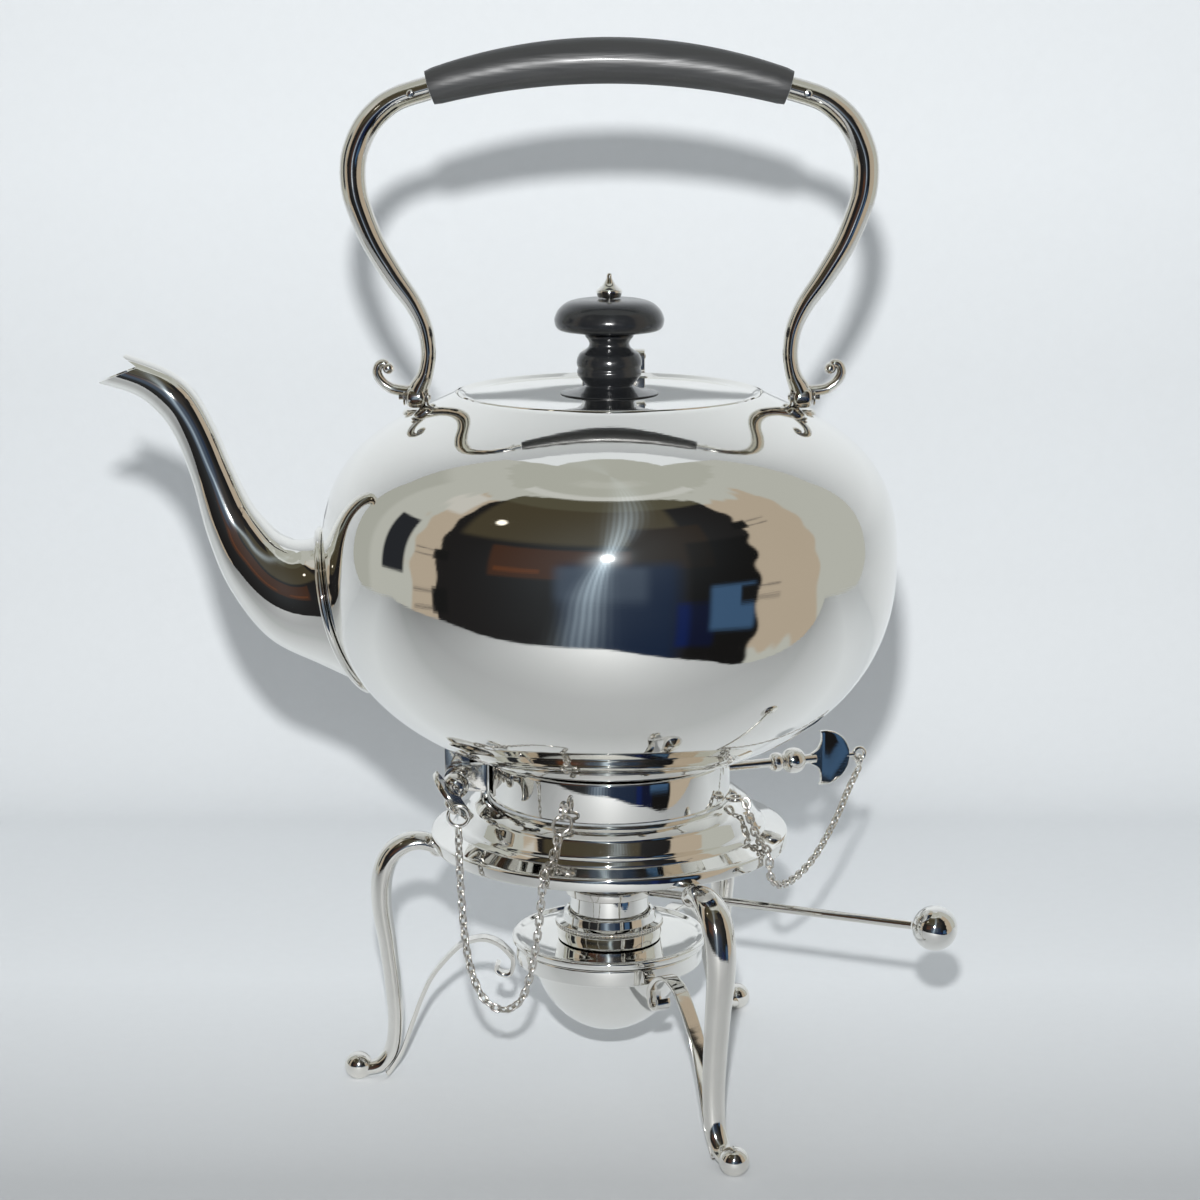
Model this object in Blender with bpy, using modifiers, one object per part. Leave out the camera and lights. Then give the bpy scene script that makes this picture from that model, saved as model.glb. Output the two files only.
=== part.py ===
"""Spirit kettle on its three-legged stand, with spirit lamp, draw-out pins and chains.

Metres, +Z up. The shapes are laid out about the stand's own axis, with the floor at z = 0, and the
whole is then moved so that the middle of its footprint is at the origin.
"""

import math

import bmesh
import bpy
from mathutils import Matrix, Vector

# Clearances and fineness
GAP = 0.0003
BORE_GAP = 0.0003
WELD = 0.000001
TURN_MERGE = 0.00001
OVERRUN = 0.002
SMOOTH_ANGLE = math.radians(35)
ROUND_STEPS = 24
SMALL_STEPS = 16
WIRE_STEPS = 12
WIRE_SIDES = 5
PIN_STEPS = 12

# Kettle body: two squared-off half ovals, one above and one below its widest line
BODY_RADIUS = 0.0904
BODY_BASE_Z = 0.108
BODY_UPPER_HEIGHT = 0.0542
BODY_LOWER_HEIGHT = 0.068
BODY_MIDDLE_Z = BODY_BASE_Z + BODY_LOWER_HEIGHT
BODY_UPPER_FULLNESS = 2.6
BODY_LOWER_FULLNESS = 2.25
BODY_WALL = 0.0013
BODY_STEPS = 32
NECK_RADIUS = 0.044
NECK_SEAT_WIDTH = 0.0028
NECK_SEAT_FILLET = 0.0005
NECK_SEAT_RISE = 0.0005
SPOUT_HOLE_RADIUS = 0.012
SPOUT_HOLE_DROP = 0.014

# Foot ring under the body
FOOT_RING_RADIUS = 0.033
FOOT_RING_WALL = 0.0015
FOOT_RING_BASE_Z = 0.0985

# Stand collar and skirt
COLLAR_BORE_RADIUS = 0.0371
COLLAR_WALL = 0.0016
COLLAR_BASE_Z = 0.0991
COLLAR_KETTLE_CLEARANCE = 0.0008
COLLAR_LIP = 0.0006
SKIRT_BORE_RADIUS = 0.038
SKIRT_RIM_RADIUS = 0.0573
SKIRT_RIM_Z = 0.0833

# Legs, feet and straps
LEG_AZIMUTHS = {"left": 177.1, "front": -62.9, "rear": 57.1}
FOOT_SPREAD_RADIUS = 0.0828
FOOT_BALL_RADIUS = 0.0046
FOOT_CENTRE_Z = 0.004
LEG_WIDTH = 0.0102
LEG_THICKNESS = 0.0066
BUD_RADIUS = 0.0034
BUD_INSET = 0.0018
STRAP_THICKNESS = 0.0015
STRAP_WIDTH = 0.0052
STRAP_CROWN_Z = 0.0486
STRAP_SPREAD_RADIUS = 0.0733

# Lamp
LAMP_TOP_RADIUS = 0.0316
LAMP_SEAT_Z = 0.0489
LAMP_TOP_HEIGHT = 0.0028
LAMP_BOWL_RADIUS = 0.0252
LAMP_BOWL_DEPTH = 0.0291
LAMP_BOWL_WALL = 0.0012
CRADLE_BORE_RADIUS = 0.0276
CRADLE_RADIUS = 0.0302
CRADLE_HEIGHT = 0.0055
BURNER_RADIUS = 0.0175
BURNER_NECK_RADIUS = 0.0139
BURNER_HEIGHT = 0.0075
BURNER_NECK_DEPTH = 0.0027
WICK_RADIUS = 0.0083
WICK_CROWN_SHARE = 0.7
WICK_TUBE_RADIUS = 0.01
WICK_TUBE_BASE_Z = 0.030
WICK_TUBE_TOP_Z = 0.072
WICK_BASE_Z = 0.024
WICK_TOP_Z = 0.0735
SLEEVE_RADIUS = 0.0129
SLEEVE_BASE_Z = 0.0589
SLEEVE_TOP_Z = 0.080
REGULATOR_RING_WALL = 0.002
REGULATOR_RING_HEIGHT = 0.0046
REGULATOR_Z = 0.0669
REGULATOR_AZIMUTH = -22.5
REGULATOR_ROD_RADIUS = 0.00135
REGULATOR_REACH_RADIUS = 0.1015
REGULATOR_BALL_RADIUS = 0.007

# Spout, as shares of its reach beyond the body's widest line and of its rise above it
SPOUT_REACH = 0.0686
SPOUT_RISE = 0.0638
SPOUT_WALL = 0.0012
SPOUT_SIDES = 14
SPOUT_BEAD_RADIUS = 0.0012
SPOUT_BEAD_STEPS = 28
SPOUT_ROOT_DEPTH = 0.004
SPOUT_ROOT_SHARES = (0.172, -0.752)
SPOUT_UPPER_SHARES = (
    (0.067, 0.0815),
    (0.176, 0.099),
    (0.257, 0.176),
    (0.328, 0.279),
    (0.41, 0.469),
    (0.481, 0.657),
    (0.573, 0.829),
    (0.694, 0.929),
    (0.872, 1.0),
)
SPOUT_LOWER_SHARES = (
    (-0.006, -0.556),
    (0.249, -0.415),
    (0.424, -0.172),
    (0.522, 0.089),
    (0.59, 0.384),
    (0.665, 0.603),
    (0.745, 0.726),
    (0.847, 0.807),
    (1.0, 0.857),
)
SPOUT_WIDTH_SHARES = (0.8, 0.85, 0.88, 0.92, 0.96, 1.0, 1.0, 1.0, 1.0, 1.0)
MOUTH_NOTCH_SHARE = (0.81, 0.942)
MOUTH_EDGE_SHARES = ((0.992, 0.868), (0.866, 0.982))

# Lid and knob
LID_OVERHANG = 0.0005
LID_THICKNESS = 0.0016
LID_RIM_RISE = 0.0003
BEZEL_DEPTH = 0.005
BEZEL_WALL = 0.001
BEZEL_GAP = 0.0008
FINIAL_ROD_RADIUS = 0.0013
FINIAL_TAIL = 0.0052
KNOB_STEM_RADIUS = 0.0152
KNOB_STEM_HEIGHT = 0.0172
KNOB_CAP_RADIUS = 0.017
KNOB_CAP_HEIGHT = 0.0107
FINIAL_RADIUS = 0.0041
FINIAL_HEIGHT = 0.0075
NUT_RADIUS = 0.0035
NUT_HEIGHT = 0.0026

# Lid hinge
LID_HINGE_OUT = 0.0022
LID_HINGE_RISE = 0.0047
LID_BARREL_RADIUS = 0.0025
LID_LEAF_HALF_WIDTH = 0.0047
LID_LEAF_LENGTH = 0.013
LID_LEAF_THICKNESS = 0.0013
LID_BASE_HALF_WIDTH = 0.0124
LID_BASE_DEPTH = 0.0048
LID_BASE_FLOOR_DROP = 0.0009
LID_PIN_RADIUS = 0.0009

# Handle
HANDLE_PIVOT_CLEARANCE = 0.0009
HANDLE_HALF_SPAN = 0.0792
HANDLE_RISE = 0.0947
GRIP_HALF_SPAN = 0.0548
GRIP_RISE = 0.1029
GRIP_END_DROP = 0.0082
GRIP_MIDDLE_RADIUS = 0.007
GRIP_END_RADIUS = 0.0055
GRIP_STATIONS = 12
GRIP_SIDES = 14
TENON_RADIUS = 0.0023
TENON_LENGTH = 0.008
SOCKET_DEPTH = 0.009
RIVET_INSET = 0.0058
RIVET_RADIUS = 0.0008
RIVET_HEAD_RADIUS = 0.0013
RIVET_HEAD_HEIGHT = 0.0006
RIVET_DOME_SHARES = (0.7, 0.8)
ARM_THICKNESS = 0.0073
ARM_DEPTH = 0.0074
ARM_SIDES = 8
SCROLL_SIDES = 6
SCROLL_SIZE = 0.0093
SCROLL_THICKNESS = 0.0032
SCROLL_BALL_RADIUS = 0.0019
EYE_RADIUS = 0.0026
EYE_INNER_X = 0.063
EYE_WIDTH = 0.0033
LUG_WIDTH = 0.0052
LUG_SPREAD = 0.005
PIVOT_RADIUS = 0.0009
PIVOT_HEAD_RADIUS = 0.0018
PIVOT_HEAD_WIDTH = 0.0016
PIVOT_END_PLAY = 0.0004

# Draw-out pins
PIN_RADIUS = 0.0015
COLLAR_BEAD_RADIUS = 0.0032
COLLAR_BEAD_LENGTH = 0.0044
BALL_BEAD_RADIUS = 0.0043
BALL_BEAD_LENGTH = 0.0072
PIN_NECK_RADIUS = 0.0016
PIN_NECK_LENGTH = 0.0028
BLADE_HALF_WIDTH = 0.0093
BLADE_LENGTH = 0.0138
BLADE_THICKNESS = 0.0017
EYE_STEM_RADIUS = 0.0009
PIN_EYE_RADIUS = 0.002
PIN_EYE_WIRE = 0.00075
JUMP_RING_RADIUS = 0.0032
LOCK_RING_RADIUS = 0.0017
JUMP_RING_WIRE = 0.0005
CHAIN_LUG_RADIUS = 0.0024
CHAIN_LUG_WIRE = 0.0007
LOCK_PIN_AZIMUTH = 20.0
LOCK_PIN_Z = 0.1032
LOCK_PIN_SEAT_RADIUS = 0.0561
LOCK_PIN_TIP_RADIUS = 0.0369
TILT_X = -0.0485
TILT_Z = 0.1055
TILT_HUB_RADIUS = 0.004
TILT_LUG_HALF_WIDTH = 0.0047
TILT_EAR_WIDTH = 0.0036
TILT_PLATE_THICKNESS = 0.002
TILT_PLATE_HEIGHT = 0.0109
TILT_PIN_TAIL = 0.0011
HINGE_BLADE_SLANT = -51.5
FRONT_CHAIN_LUG_AZIMUTH = -109.6
SIDE_CHAIN_LUG_AZIMUTH = -19.0

# Chains
CHAIN_PITCH = 0.0026
CHAIN_WIDE = 0.00125
CHAIN_THIN = 0.0005
CHAIN_WAIST = 0.00062
LEFT_CHAIN_ROUTE = (
    (-0.0462, -0.0411, 0.0930),
    (-0.0460, -0.0415, 0.0860),
    (-0.0456, -0.0420, 0.0780),
    (-0.0447, -0.0435, 0.0660),
    (-0.0428, -0.0450, 0.0550),
    (-0.0390, -0.0465, 0.0460),
    (-0.0330, -0.0480, 0.0425),
    (-0.0275, -0.0500, 0.0460),
    (-0.0245, -0.0520, 0.0540),
    (-0.0225, -0.0535, 0.0640),
    (-0.0212, -0.0546, 0.0740),
    (-0.0204, -0.0552, 0.0820),
    (-0.0201, -0.0553, 0.0868),
    (-0.0199, -0.0544, 0.0888),
    (-0.0190, -0.0522, 0.0893),
    (-0.0175, -0.0479, 0.0903),
    (-0.0171, -0.0466, 0.0921),
    (-0.0164, -0.0448, 0.0939),
    (-0.0155, -0.0425, 0.0977),
    (-0.0149, -0.0410, 0.0991),
)
RIGHT_CHAIN_ROUTE = (
    (0.0440, -0.0166, 0.0965),
    (0.0453, -0.0201, 0.0926),
    (0.0466, -0.0237, 0.0903),
    (0.0479, -0.0276, 0.0893),
    (0.0492, -0.0303, 0.0888),
    (0.0498, -0.0315, 0.0868),
    (0.0499, -0.0314, 0.0832),
    (0.0507, -0.0297, 0.0786),
    (0.0542, -0.0234, 0.0750),
    (0.0598, -0.0129, 0.0745),
    (0.0665, -0.0006, 0.0775),
    (0.0739, 0.0130, 0.0854),
    (0.0785, 0.0218, 0.0925),
    (0.0812, 0.0270, 0.0962),
)


def clear_scene():
    for obj in list(bpy.data.objects):
        bpy.data.objects.remove(obj, do_unlink=True)


def new_collection(name):
    collection = bpy.data.collections.new(name)
    bpy.context.scene.collection.children.link(collection)
    return collection


def new_material(name, colour, metallic, roughness):
    material = bpy.data.materials.new(name)
    material.use_nodes = True
    shader = material.node_tree.nodes["Principled BSDF"]
    shader.inputs["Base Color"].default_value = (*colour, 1)
    shader.inputs["Metallic"].default_value = metallic
    shader.inputs["Roughness"].default_value = roughness
    return material


clear_scene()
PARTS = new_collection("spirit_kettle_on_stand")
CUTTERS = new_collection("cutters")
SILVER = new_material("silver_plate", (0.78, 0.76, 0.72), 1.0, 0.12)
EBONY = new_material("ebony", (0.03, 0.02, 0.02), 0.0, 0.3)
COTTON = new_material("wick_cotton", (0.85, 0.82, 0.75), 0.0, 0.9)


def new_object(name, data, material):
    obj = bpy.data.objects.new(name, data)
    data.materials.append(material)
    PARTS.objects.link(obj)
    return obj


def solid_from(name, shape, material):
    """An object whose mesh is the given bmesh, smooth apart from its sharp corners."""
    mesh = bpy.data.meshes.new(name)
    shape.to_mesh(mesh)
    shape.free()
    mesh.shade_smooth()
    mesh.set_sharp_from_angle(angle=SMOOTH_ANGLE)
    return new_object(name, mesh, material)


def as_cutter(obj):
    """Move a shape out of the parts: it only cuts others, or is fused into one."""
    PARTS.objects.unlink(obj)
    CUTTERS.objects.link(obj)
    obj.hide_render = True
    obj.display_type = "WIRE"
    return obj


def boolean(obj, other, operation):
    step = obj.modifiers.new(other.name, "BOOLEAN")
    step.operation = operation
    step.solver = "EXACT"
    step.object = other


def cut(obj, cutter):
    boolean(obj, cutter, "DIFFERENCE")


def fuse(obj, other):
    boolean(obj, as_cutter(other), "UNION")


def turned(name, profile, steps, material, ring=False):
    """A profile of (radius, height) points, down its outer side, turned about Z."""
    count = len(profile)
    edges = [(index, index + 1) for index in range(count - 1)]
    if ring:
        edges.append((count - 1, 0))
    mesh = bpy.data.meshes.new(name)
    mesh.from_pydata([(radius, 0, height) for radius, height in profile], edges, [])
    obj = new_object(name, mesh, material)
    screw = obj.modifiers.new("turn", "SCREW")
    screw.axis = "Z"
    screw.steps = steps
    screw.render_steps = steps
    screw.use_merge_vertices = True
    screw.merge_threshold = TURN_MERGE
    screw.use_smooth_shade = True
    return obj


def scaled(shares, radius, height, base):
    return [(across * radius, base + up * height) for across, up in shares]


def circle(radius, sides, centre=(0, 0), start=0.0, sweep=math.tau):
    """Points round a circle, or along the part of it that the sweep covers."""
    whole = abs(sweep) >= math.tau
    last = sides if whole else sides - 1
    angles = [start + sweep * index / last for index in range(sides)]
    return [
        (centre[0] + radius * math.cos(angle), centre[1] + radius * math.sin(angle))
        for angle in angles
    ]


def wire_ring(name, radius, wire, place, material=None):
    """A ring of round wire about the local Z axis."""
    section = [(radius + u, v) for u, v in circle(wire, WIRE_SIDES, sweep=-math.tau)]
    obj = turned(name, section, WIRE_STEPS, material or SILVER, ring=True)
    obj.matrix_world = place
    return obj


def along(direction, origin, roll=0.0):
    """A frame at the origin whose +Z points in the direction."""
    turn = Vector(direction).to_track_quat("Z", "Y").to_matrix().to_4x4()
    return Matrix.Translation(origin) @ turn @ Matrix.Rotation(roll, 4, "Z")


def rod(name, start, end, radius, material=None, sides=PIN_STEPS):
    start = Vector(start)
    end = Vector(end)
    shape = bmesh.new()
    bmesh.ops.create_cone(
        shape,
        cap_ends=True,
        segments=sides,
        radius1=radius,
        radius2=radius,
        depth=(end - start).length,
    )
    obj = solid_from(name, shape, material or SILVER)
    obj.matrix_world = along(end - start, (start + end) / 2)
    return obj


def ball(name, centre, radius, material=None, sides=PIN_STEPS):
    shape = bmesh.new()
    rows = sides // 2 + 1
    bmesh.ops.create_uvsphere(shape, u_segments=sides, v_segments=rows, radius=radius)
    obj = solid_from(name, shape, material or SILVER)
    obj.location = centre
    return obj


def box(name, low, high, material=None):
    low = Vector(low)
    high = Vector(high)
    shape = bmesh.new()
    bmesh.ops.create_cube(shape, size=1)
    bmesh.ops.scale(shape, vec=high - low, verts=shape.verts)
    obj = solid_from(name, shape, material or SILVER)
    obj.location = (low + high) / 2
    return obj


def plate(name, outlines, thickness, place, material=None):
    """A flat sheet with its thickness centred on the drawing plane; later outlines are holes."""
    curve = bpy.data.curves.new(name, "CURVE")
    curve.dimensions = "2D"
    curve.fill_mode = "BOTH"
    curve.extrude = thickness / 2
    for outline in outlines:
        spline = curve.splines.new("POLY")
        spline.points.add(len(outline) - 1)
        for point, (across, up) in zip(spline.points, outline):
            point.co = (across, up, 0, 1)
        spline.use_cyclic_u = True
    drawn = bpy.data.objects.new(name, curve)
    PARTS.objects.link(drawn)
    graph = bpy.context.evaluated_depsgraph_get()
    mesh = bpy.data.meshes.new_from_object(drawn.evaluated_get(graph))
    bpy.data.objects.remove(drawn, do_unlink=True)
    bpy.data.curves.remove(curve)
    shape = bmesh.new()
    shape.from_mesh(mesh)
    bpy.data.meshes.remove(mesh)
    bmesh.ops.remove_doubles(shape, verts=shape.verts, dist=WELD)
    bmesh.ops.recalc_face_normals(shape, faces=shape.faces)
    obj = solid_from(name, shape, material or SILVER)
    obj.matrix_world = place
    return obj


def loft(name, rings, material, capped=True, joined=False):
    """Skin over rings of points; joined runs the last ring back to the first."""
    shape = bmesh.new()
    rows = [[shape.verts.new(point) for point in ring] for ring in rings]
    pairs = list(zip(rows, rows[1:]))
    if joined:
        pairs.append((rows[-1], rows[0]))
    for lower, upper in pairs:
        count = len(lower)
        for index in range(count):
            after = (index + 1) % count
            shape.faces.new((lower[index], lower[after], upper[after], upper[index]))
    if capped:
        shape.faces.new(list(reversed(rows[0])))
        shape.faces.new(rows[-1])
    shape.faces.ensure_lookup_table()
    shape.normal_update()
    first = shape.faces[0]
    inside = sum((Vector(point) for point in rings[0]), Vector()) / len(rings[0])
    if first.normal.dot(first.calc_center_median() - inside) < 0:
        bmesh.ops.reverse_faces(shape, faces=shape.faces)
    return solid_from(name, shape, material)


def smooth_through(points, per_span):
    """Points on a smooth curve that passes through the given ones."""
    last = len(points) - 1
    found = []
    for index in range(last):
        near = [points[max(index - 1, 0)], points[index], points[index + 1]]
        near.append(points[min(index + 2, last)])
        for step in range(per_span):
            t = step / per_span
            found.append(
                tuple(
                    (2 * b + (c - a) * t + (2 * a - 5 * b + 4 * c - d) * t * t) / 2
                    + (3 * b - a - 3 * c + d) * t**3 / 2
                    for a, b, c, d in zip(*near)
                )
            )
    found.append(tuple(points[last]))
    return found


def bar_rings(stations, section_share, azimuth=0.0):
    """Sections square to a path in the vertical plane at this azimuth.

    A station is (distance out, height, thickness in the plane, width across it).
    """
    turn = Matrix.Rotation(math.radians(azimuth), 4, "Z")
    last = len(stations) - 1
    rings = []
    for index, (out, up, thickness, width) in enumerate(stations):
        before = stations[max(index - 1, 0)]
        after = stations[min(index + 1, last)]
        run = Vector((after[0] - before[0], after[1] - before[1])).normalized()
        rings.append(
            [
                turn
                @ Vector((
                    out - run.y * across * thickness,
                    side * width,
                    up + run.x * across * thickness,
                ))
                for across, side in section_share
            ]
        )
    return rings


def polar(radius, azimuth, height):
    angle = math.radians(azimuth)
    return Vector((radius * math.cos(angle), radius * math.sin(angle), height))


def pivot(name, place, parent=None):
    empty = bpy.data.objects.new(name, None)
    empty.location = place
    PARTS.objects.link(empty)
    if parent:
        carry(parent, empty)
    bpy.context.view_layer.update()
    return empty


def carry(carrier, *pieces):
    """Hang pieces, and the shapes that cut them, on an empty without moving them."""
    for piece in pieces:
        if piece.parent:
            continue
        piece.parent = carrier
        piece.matrix_parent_inverse = carrier.matrix_world.inverted()
        for step in piece.modifiers:
            if step.type == "BOOLEAN":
                carry(carrier, step.object)


# Body
def body_point(angle, grow=0.0):
    """(radius, height) of the body's outer face at this angle above its widest line."""
    upper = angle >= 0
    height = BODY_UPPER_HEIGHT if upper else BODY_LOWER_HEIGHT
    power = 2 / (BODY_UPPER_FULLNESS if upper else BODY_LOWER_FULLNESS)
    radius = (BODY_RADIUS + grow) * abs(math.cos(angle)) ** power
    rise = (height + grow) * abs(math.sin(angle)) ** power
    return radius, BODY_MIDDLE_Z + math.copysign(rise, angle)


def body_angle(radius, grow=0.0):
    """The angle at which the upper half of the body has this radius."""
    share = radius / (BODY_RADIUS + grow)
    return math.acos(share ** (BODY_UPPER_FULLNESS / 2))


def body_over_z(radius):
    """Height of the body's upper face at this radius."""
    return body_point(body_angle(radius))[1]


def body_under_z(radius):
    """Height of the body's underside at this radius."""
    across = (radius / BODY_RADIUS) ** BODY_LOWER_FULLNESS
    return BODY_MIDDLE_Z - BODY_LOWER_HEIGHT * (1 - across) ** (1 / BODY_LOWER_FULLNESS)


def body_side(rise):
    """Radius of the body's outer face at this rise above its widest line."""
    upper = rise >= 0
    height = BODY_UPPER_HEIGHT if upper else BODY_LOWER_HEIGHT
    fullness = BODY_UPPER_FULLNESS if upper else BODY_LOWER_FULLNESS
    return BODY_RADIUS * (1 - (abs(rise) / height) ** fullness) ** (1 / fullness)


def body_arc(top, bottom, steps, grow=0.0):
    angles = [top + (bottom - top) * index / steps for index in range(steps + 1)]
    points = [body_point(angle, grow) for angle in angles]
    if bottom == -math.pi / 2:
        points[-1] = (0, points[-1][1])
    return points


def neck_seat_z():
    """Height of the flat ring round the neck that the lid closes on."""
    outer = NECK_RADIUS + NECK_SEAT_WIDTH
    return body_over_z(outer) + NECK_SEAT_RISE


def lid_base_z():
    return neck_seat_z() + GAP


def lid_top_z():
    return lid_base_z() + LID_THICKNESS


LID_HINGE_Y = NECK_RADIUS + NECK_SEAT_WIDTH + LID_OVERHANG + LID_HINGE_OUT
LID_HINGE_Z = lid_top_z() + LID_HINGE_RISE
HANDLE_PIVOT_INNER_X = EYE_INNER_X - GAP - LUG_WIDTH - GAP
HANDLE_PIVOT_Z = (
    body_over_z(HANDLE_PIVOT_INNER_X - PIVOT_HEAD_WIDTH)
    + PIVOT_HEAD_RADIUS
    + HANDLE_PIVOT_CLEARANCE
)
GRIP_MIDDLE_Z = HANDLE_PIVOT_Z + GRIP_RISE


def body_envelope(grow):
    """The body's outer form as a solid, grown by a clearance, to fit other pieces to it."""
    profile = body_arc(math.pi / 2, -math.pi / 2, 24, grow)
    profile[0] = (0, profile[0][1])
    return as_cutter(turned("body_envelope", profile, BODY_STEPS, SILVER))


def kettle_body():
    seat_outer = NECK_RADIUS + NECK_SEAT_WIDTH
    shoulder = seat_outer + NECK_SEAT_FILLET
    outer = body_arc(body_angle(shoulder), -math.pi / 2, 14)
    inner = body_arc(body_angle(NECK_RADIUS, -BODY_WALL), -math.pi / 2, 8, -BODY_WALL)
    seat = [(NECK_RADIUS, neck_seat_z()), (seat_outer, neck_seat_z())]
    body = turned("kettle_body", inner[::-1] + seat + outer, BODY_STEPS, SILVER)
    hole_z = BODY_MIDDLE_Z - SPOUT_HOLE_DROP
    hole = rod(
        "spout_hole",
        (-BODY_RADIUS - OVERRUN, 0, hole_z),
        (-BODY_RADIUS + SPOUT_HOLE_RADIUS, 0, hole_z),
        SPOUT_HOLE_RADIUS,
        sides=SMALL_STEPS,
    )
    cut(body, as_cutter(hole))
    return body


def foot_ring(envelope):
    inside = FOOT_RING_RADIUS - FOOT_RING_WALL
    top = body_under_z(FOOT_RING_RADIUS) + 2 * FOOT_RING_WALL
    profile = [
        (inside, top),
        (FOOT_RING_RADIUS, top),
        (FOOT_RING_RADIUS, FOOT_RING_BASE_Z),
        (inside, FOOT_RING_BASE_Z),
    ]
    ring = turned("kettle_foot_ring", profile, ROUND_STEPS, SILVER, ring=True)
    cut(ring, envelope)
    cut(ring, lock_hole("foot_ring_lock_hole"))
    return ring


# Spout
def spout_place(share):
    return Vector((
        -BODY_RADIUS - SPOUT_REACH * share[0],
        0,
        BODY_MIDDLE_Z + SPOUT_RISE * share[1],
    ))


def root_share(up):
    """(out, up) shares of a point of the spout's root, a set depth inside the body."""
    out = body_side(up * SPOUT_RISE) - SPOUT_ROOT_DEPTH - BODY_RADIUS
    return out / SPOUT_REACH, up


def spout_rings(grow=0.0, per_span=2, sides=SPOUT_SIDES):
    upper_root, lower_root = [root_share(up) for up in SPOUT_ROOT_SHARES]
    joined = [
        upper + lower + (width,)
        for upper, lower, width in zip(
            (upper_root, *SPOUT_UPPER_SHARES),
            (lower_root, *SPOUT_LOWER_SHARES),
            SPOUT_WIDTH_SHARES,
        )
    ]
    rings = []
    for station in smooth_through(joined, per_span):
        top = spout_place(station[0:2])
        bottom = spout_place(station[2:4])
        middle = (top + bottom) / 2
        half = (top - bottom).length / 2
        up = (top - bottom).normalized()
        across = half * station[4] + grow
        rings.append(
            [
                middle + up * u + Vector((0, v, 0))
                for u, v in (
                    ((half + grow) * math.cos(angle), across * math.sin(angle))
                    for angle in (math.tau * index / sides for index in range(sides))
                )
            ]
        )
    return rings


def mouth_notch():
    """A wedge that opens the spout's mouth like a beak."""
    tip = MOUTH_NOTCH_SHARE
    outline = [tip]
    for edge in MOUTH_EDGE_SHARES:
        outline.append(tuple(t + 4 * (e - t) for t, e in zip(tip, edge)))
    corners = [spout_place(point) for point in outline]
    flat = [(corner.x, corner.z) for corner in corners]
    place = Matrix.Rotation(math.pi / 2, 4, "X")
    return as_cutter(plate("mouth_notch", [flat], SPOUT_REACH, place))


def spout(envelope):
    piece = loft("spout", spout_rings(), SILVER, capped=False)
    shell = piece.modifiers.new("wall", "SOLIDIFY")
    shell.thickness = SPOUT_WALL
    shell.offset = -1
    shell.use_even_offset = True
    cut(piece, mouth_notch())
    cut(piece, envelope)
    return piece


def outside_body(point, grow):
    """Over 0 where the point is outside the body grown by this much."""
    radius = math.hypot(point.x, point.y)
    rise = point.z - BODY_MIDDLE_Z
    upper = rise >= 0
    height = (BODY_UPPER_HEIGHT if upper else BODY_LOWER_HEIGHT) + grow
    power = BODY_UPPER_FULLNESS if upper else BODY_LOWER_FULLNESS
    across = (radius / (BODY_RADIUS + grow)) ** power
    return across + (abs(rise) / height) ** power - 1


def spout_bead():
    """A bead of round wire in the corner between the spout and the body."""
    off = SPOUT_BEAD_RADIUS + GAP
    rings = spout_rings(off, 2, SPOUT_BEAD_STEPS)
    path = []
    for line in zip(*rings):
        for inside, beyond in zip(line, line[1:]):
            if outside_body(inside, off) < 0 <= outside_body(beyond, off):
                break
        for _ in range(24):
            middle = (inside + beyond) / 2
            if outside_body(middle, off) < 0:
                inside = middle
            else:
                beyond = middle
        path.append(inside)
    count = len(path)
    centre = sum(path, Vector()) / count
    sections = []
    for index, point in enumerate(path):
        run = (path[(index + 1) % count] - path[index - 1]).normalized()
        out = (point - centre).normalized()
        out = (out - run * out.dot(run)).normalized()
        side = run.cross(out)
        sections.append(
            [point + out * u + side * v for u, v in circle(SPOUT_BEAD_RADIUS, WIRE_SIDES)]
        )
    return loft("spout_bead", sections, SILVER, capped=False, joined=True)


# Lid
def lid():
    rim = NECK_RADIUS + NECK_SEAT_WIDTH + LID_OVERHANG
    bore = FINIAL_ROD_RADIUS + BORE_GAP
    top = lid_top_z()
    base = lid_base_z()
    bezel = NECK_RADIUS - BEZEL_GAP
    inner = bezel - BEZEL_WALL
    bezel_z = base - BEZEL_DEPTH
    ceiling = base + LID_RIM_RISE
    profile = [
        (bore, top),
        (rim - LID_THICKNESS, top),
        (rim - LID_RIM_RISE, top - LID_RIM_RISE / 2),
        (rim, top - LID_THICKNESS / 2),
        (rim - LID_RIM_RISE, base),
        (bezel, base),
        (bezel - BEZEL_WALL / 4, bezel_z),
        (inner, bezel_z),
        (inner, ceiling),
        (bore, ceiling),
    ]
    return turned("lid", profile, BODY_STEPS, SILVER, ring=True)


KNOB_STEM_SHARES = (
    (0.49, 1.0),
    (0.49, 0.925),
    (0.345, 0.84),
    (0.46, 0.755),
    (0.63, 0.67),
    (0.68, 0.535),
    (0.63, 0.43),
    (0.67, 0.385),
    (0.645, 0.27),
    (0.5, 0.175),
    (0.91, 0.145),
    (1.0, 0.095),
    (0.985, 0.035),
    (0.9, 0.0),
)
KNOB_CAP_SHARES = (
    (0.26, 1.0),
    (0.59, 0.925),
    (0.85, 0.70),
    (0.98, 0.40),
    (1.0, 0.21),
    (0.94, 0.03),
    (0.47, 0.0),
)
FINIAL_SHARES = (
    (0.0, 1.0),
    (0.2, 0.69),
    (0.54, 0.44),
    (0.98, 0.23),
    (1.0, 0.12),
    (0.73, 0.04),
    (0.83, 0.0),
)


def bored(profile, bore):
    """A turned profile closed down a bore on its axis."""
    return [(bore, profile[0][1])] + profile + [(bore, profile[-1][1])]


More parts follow.
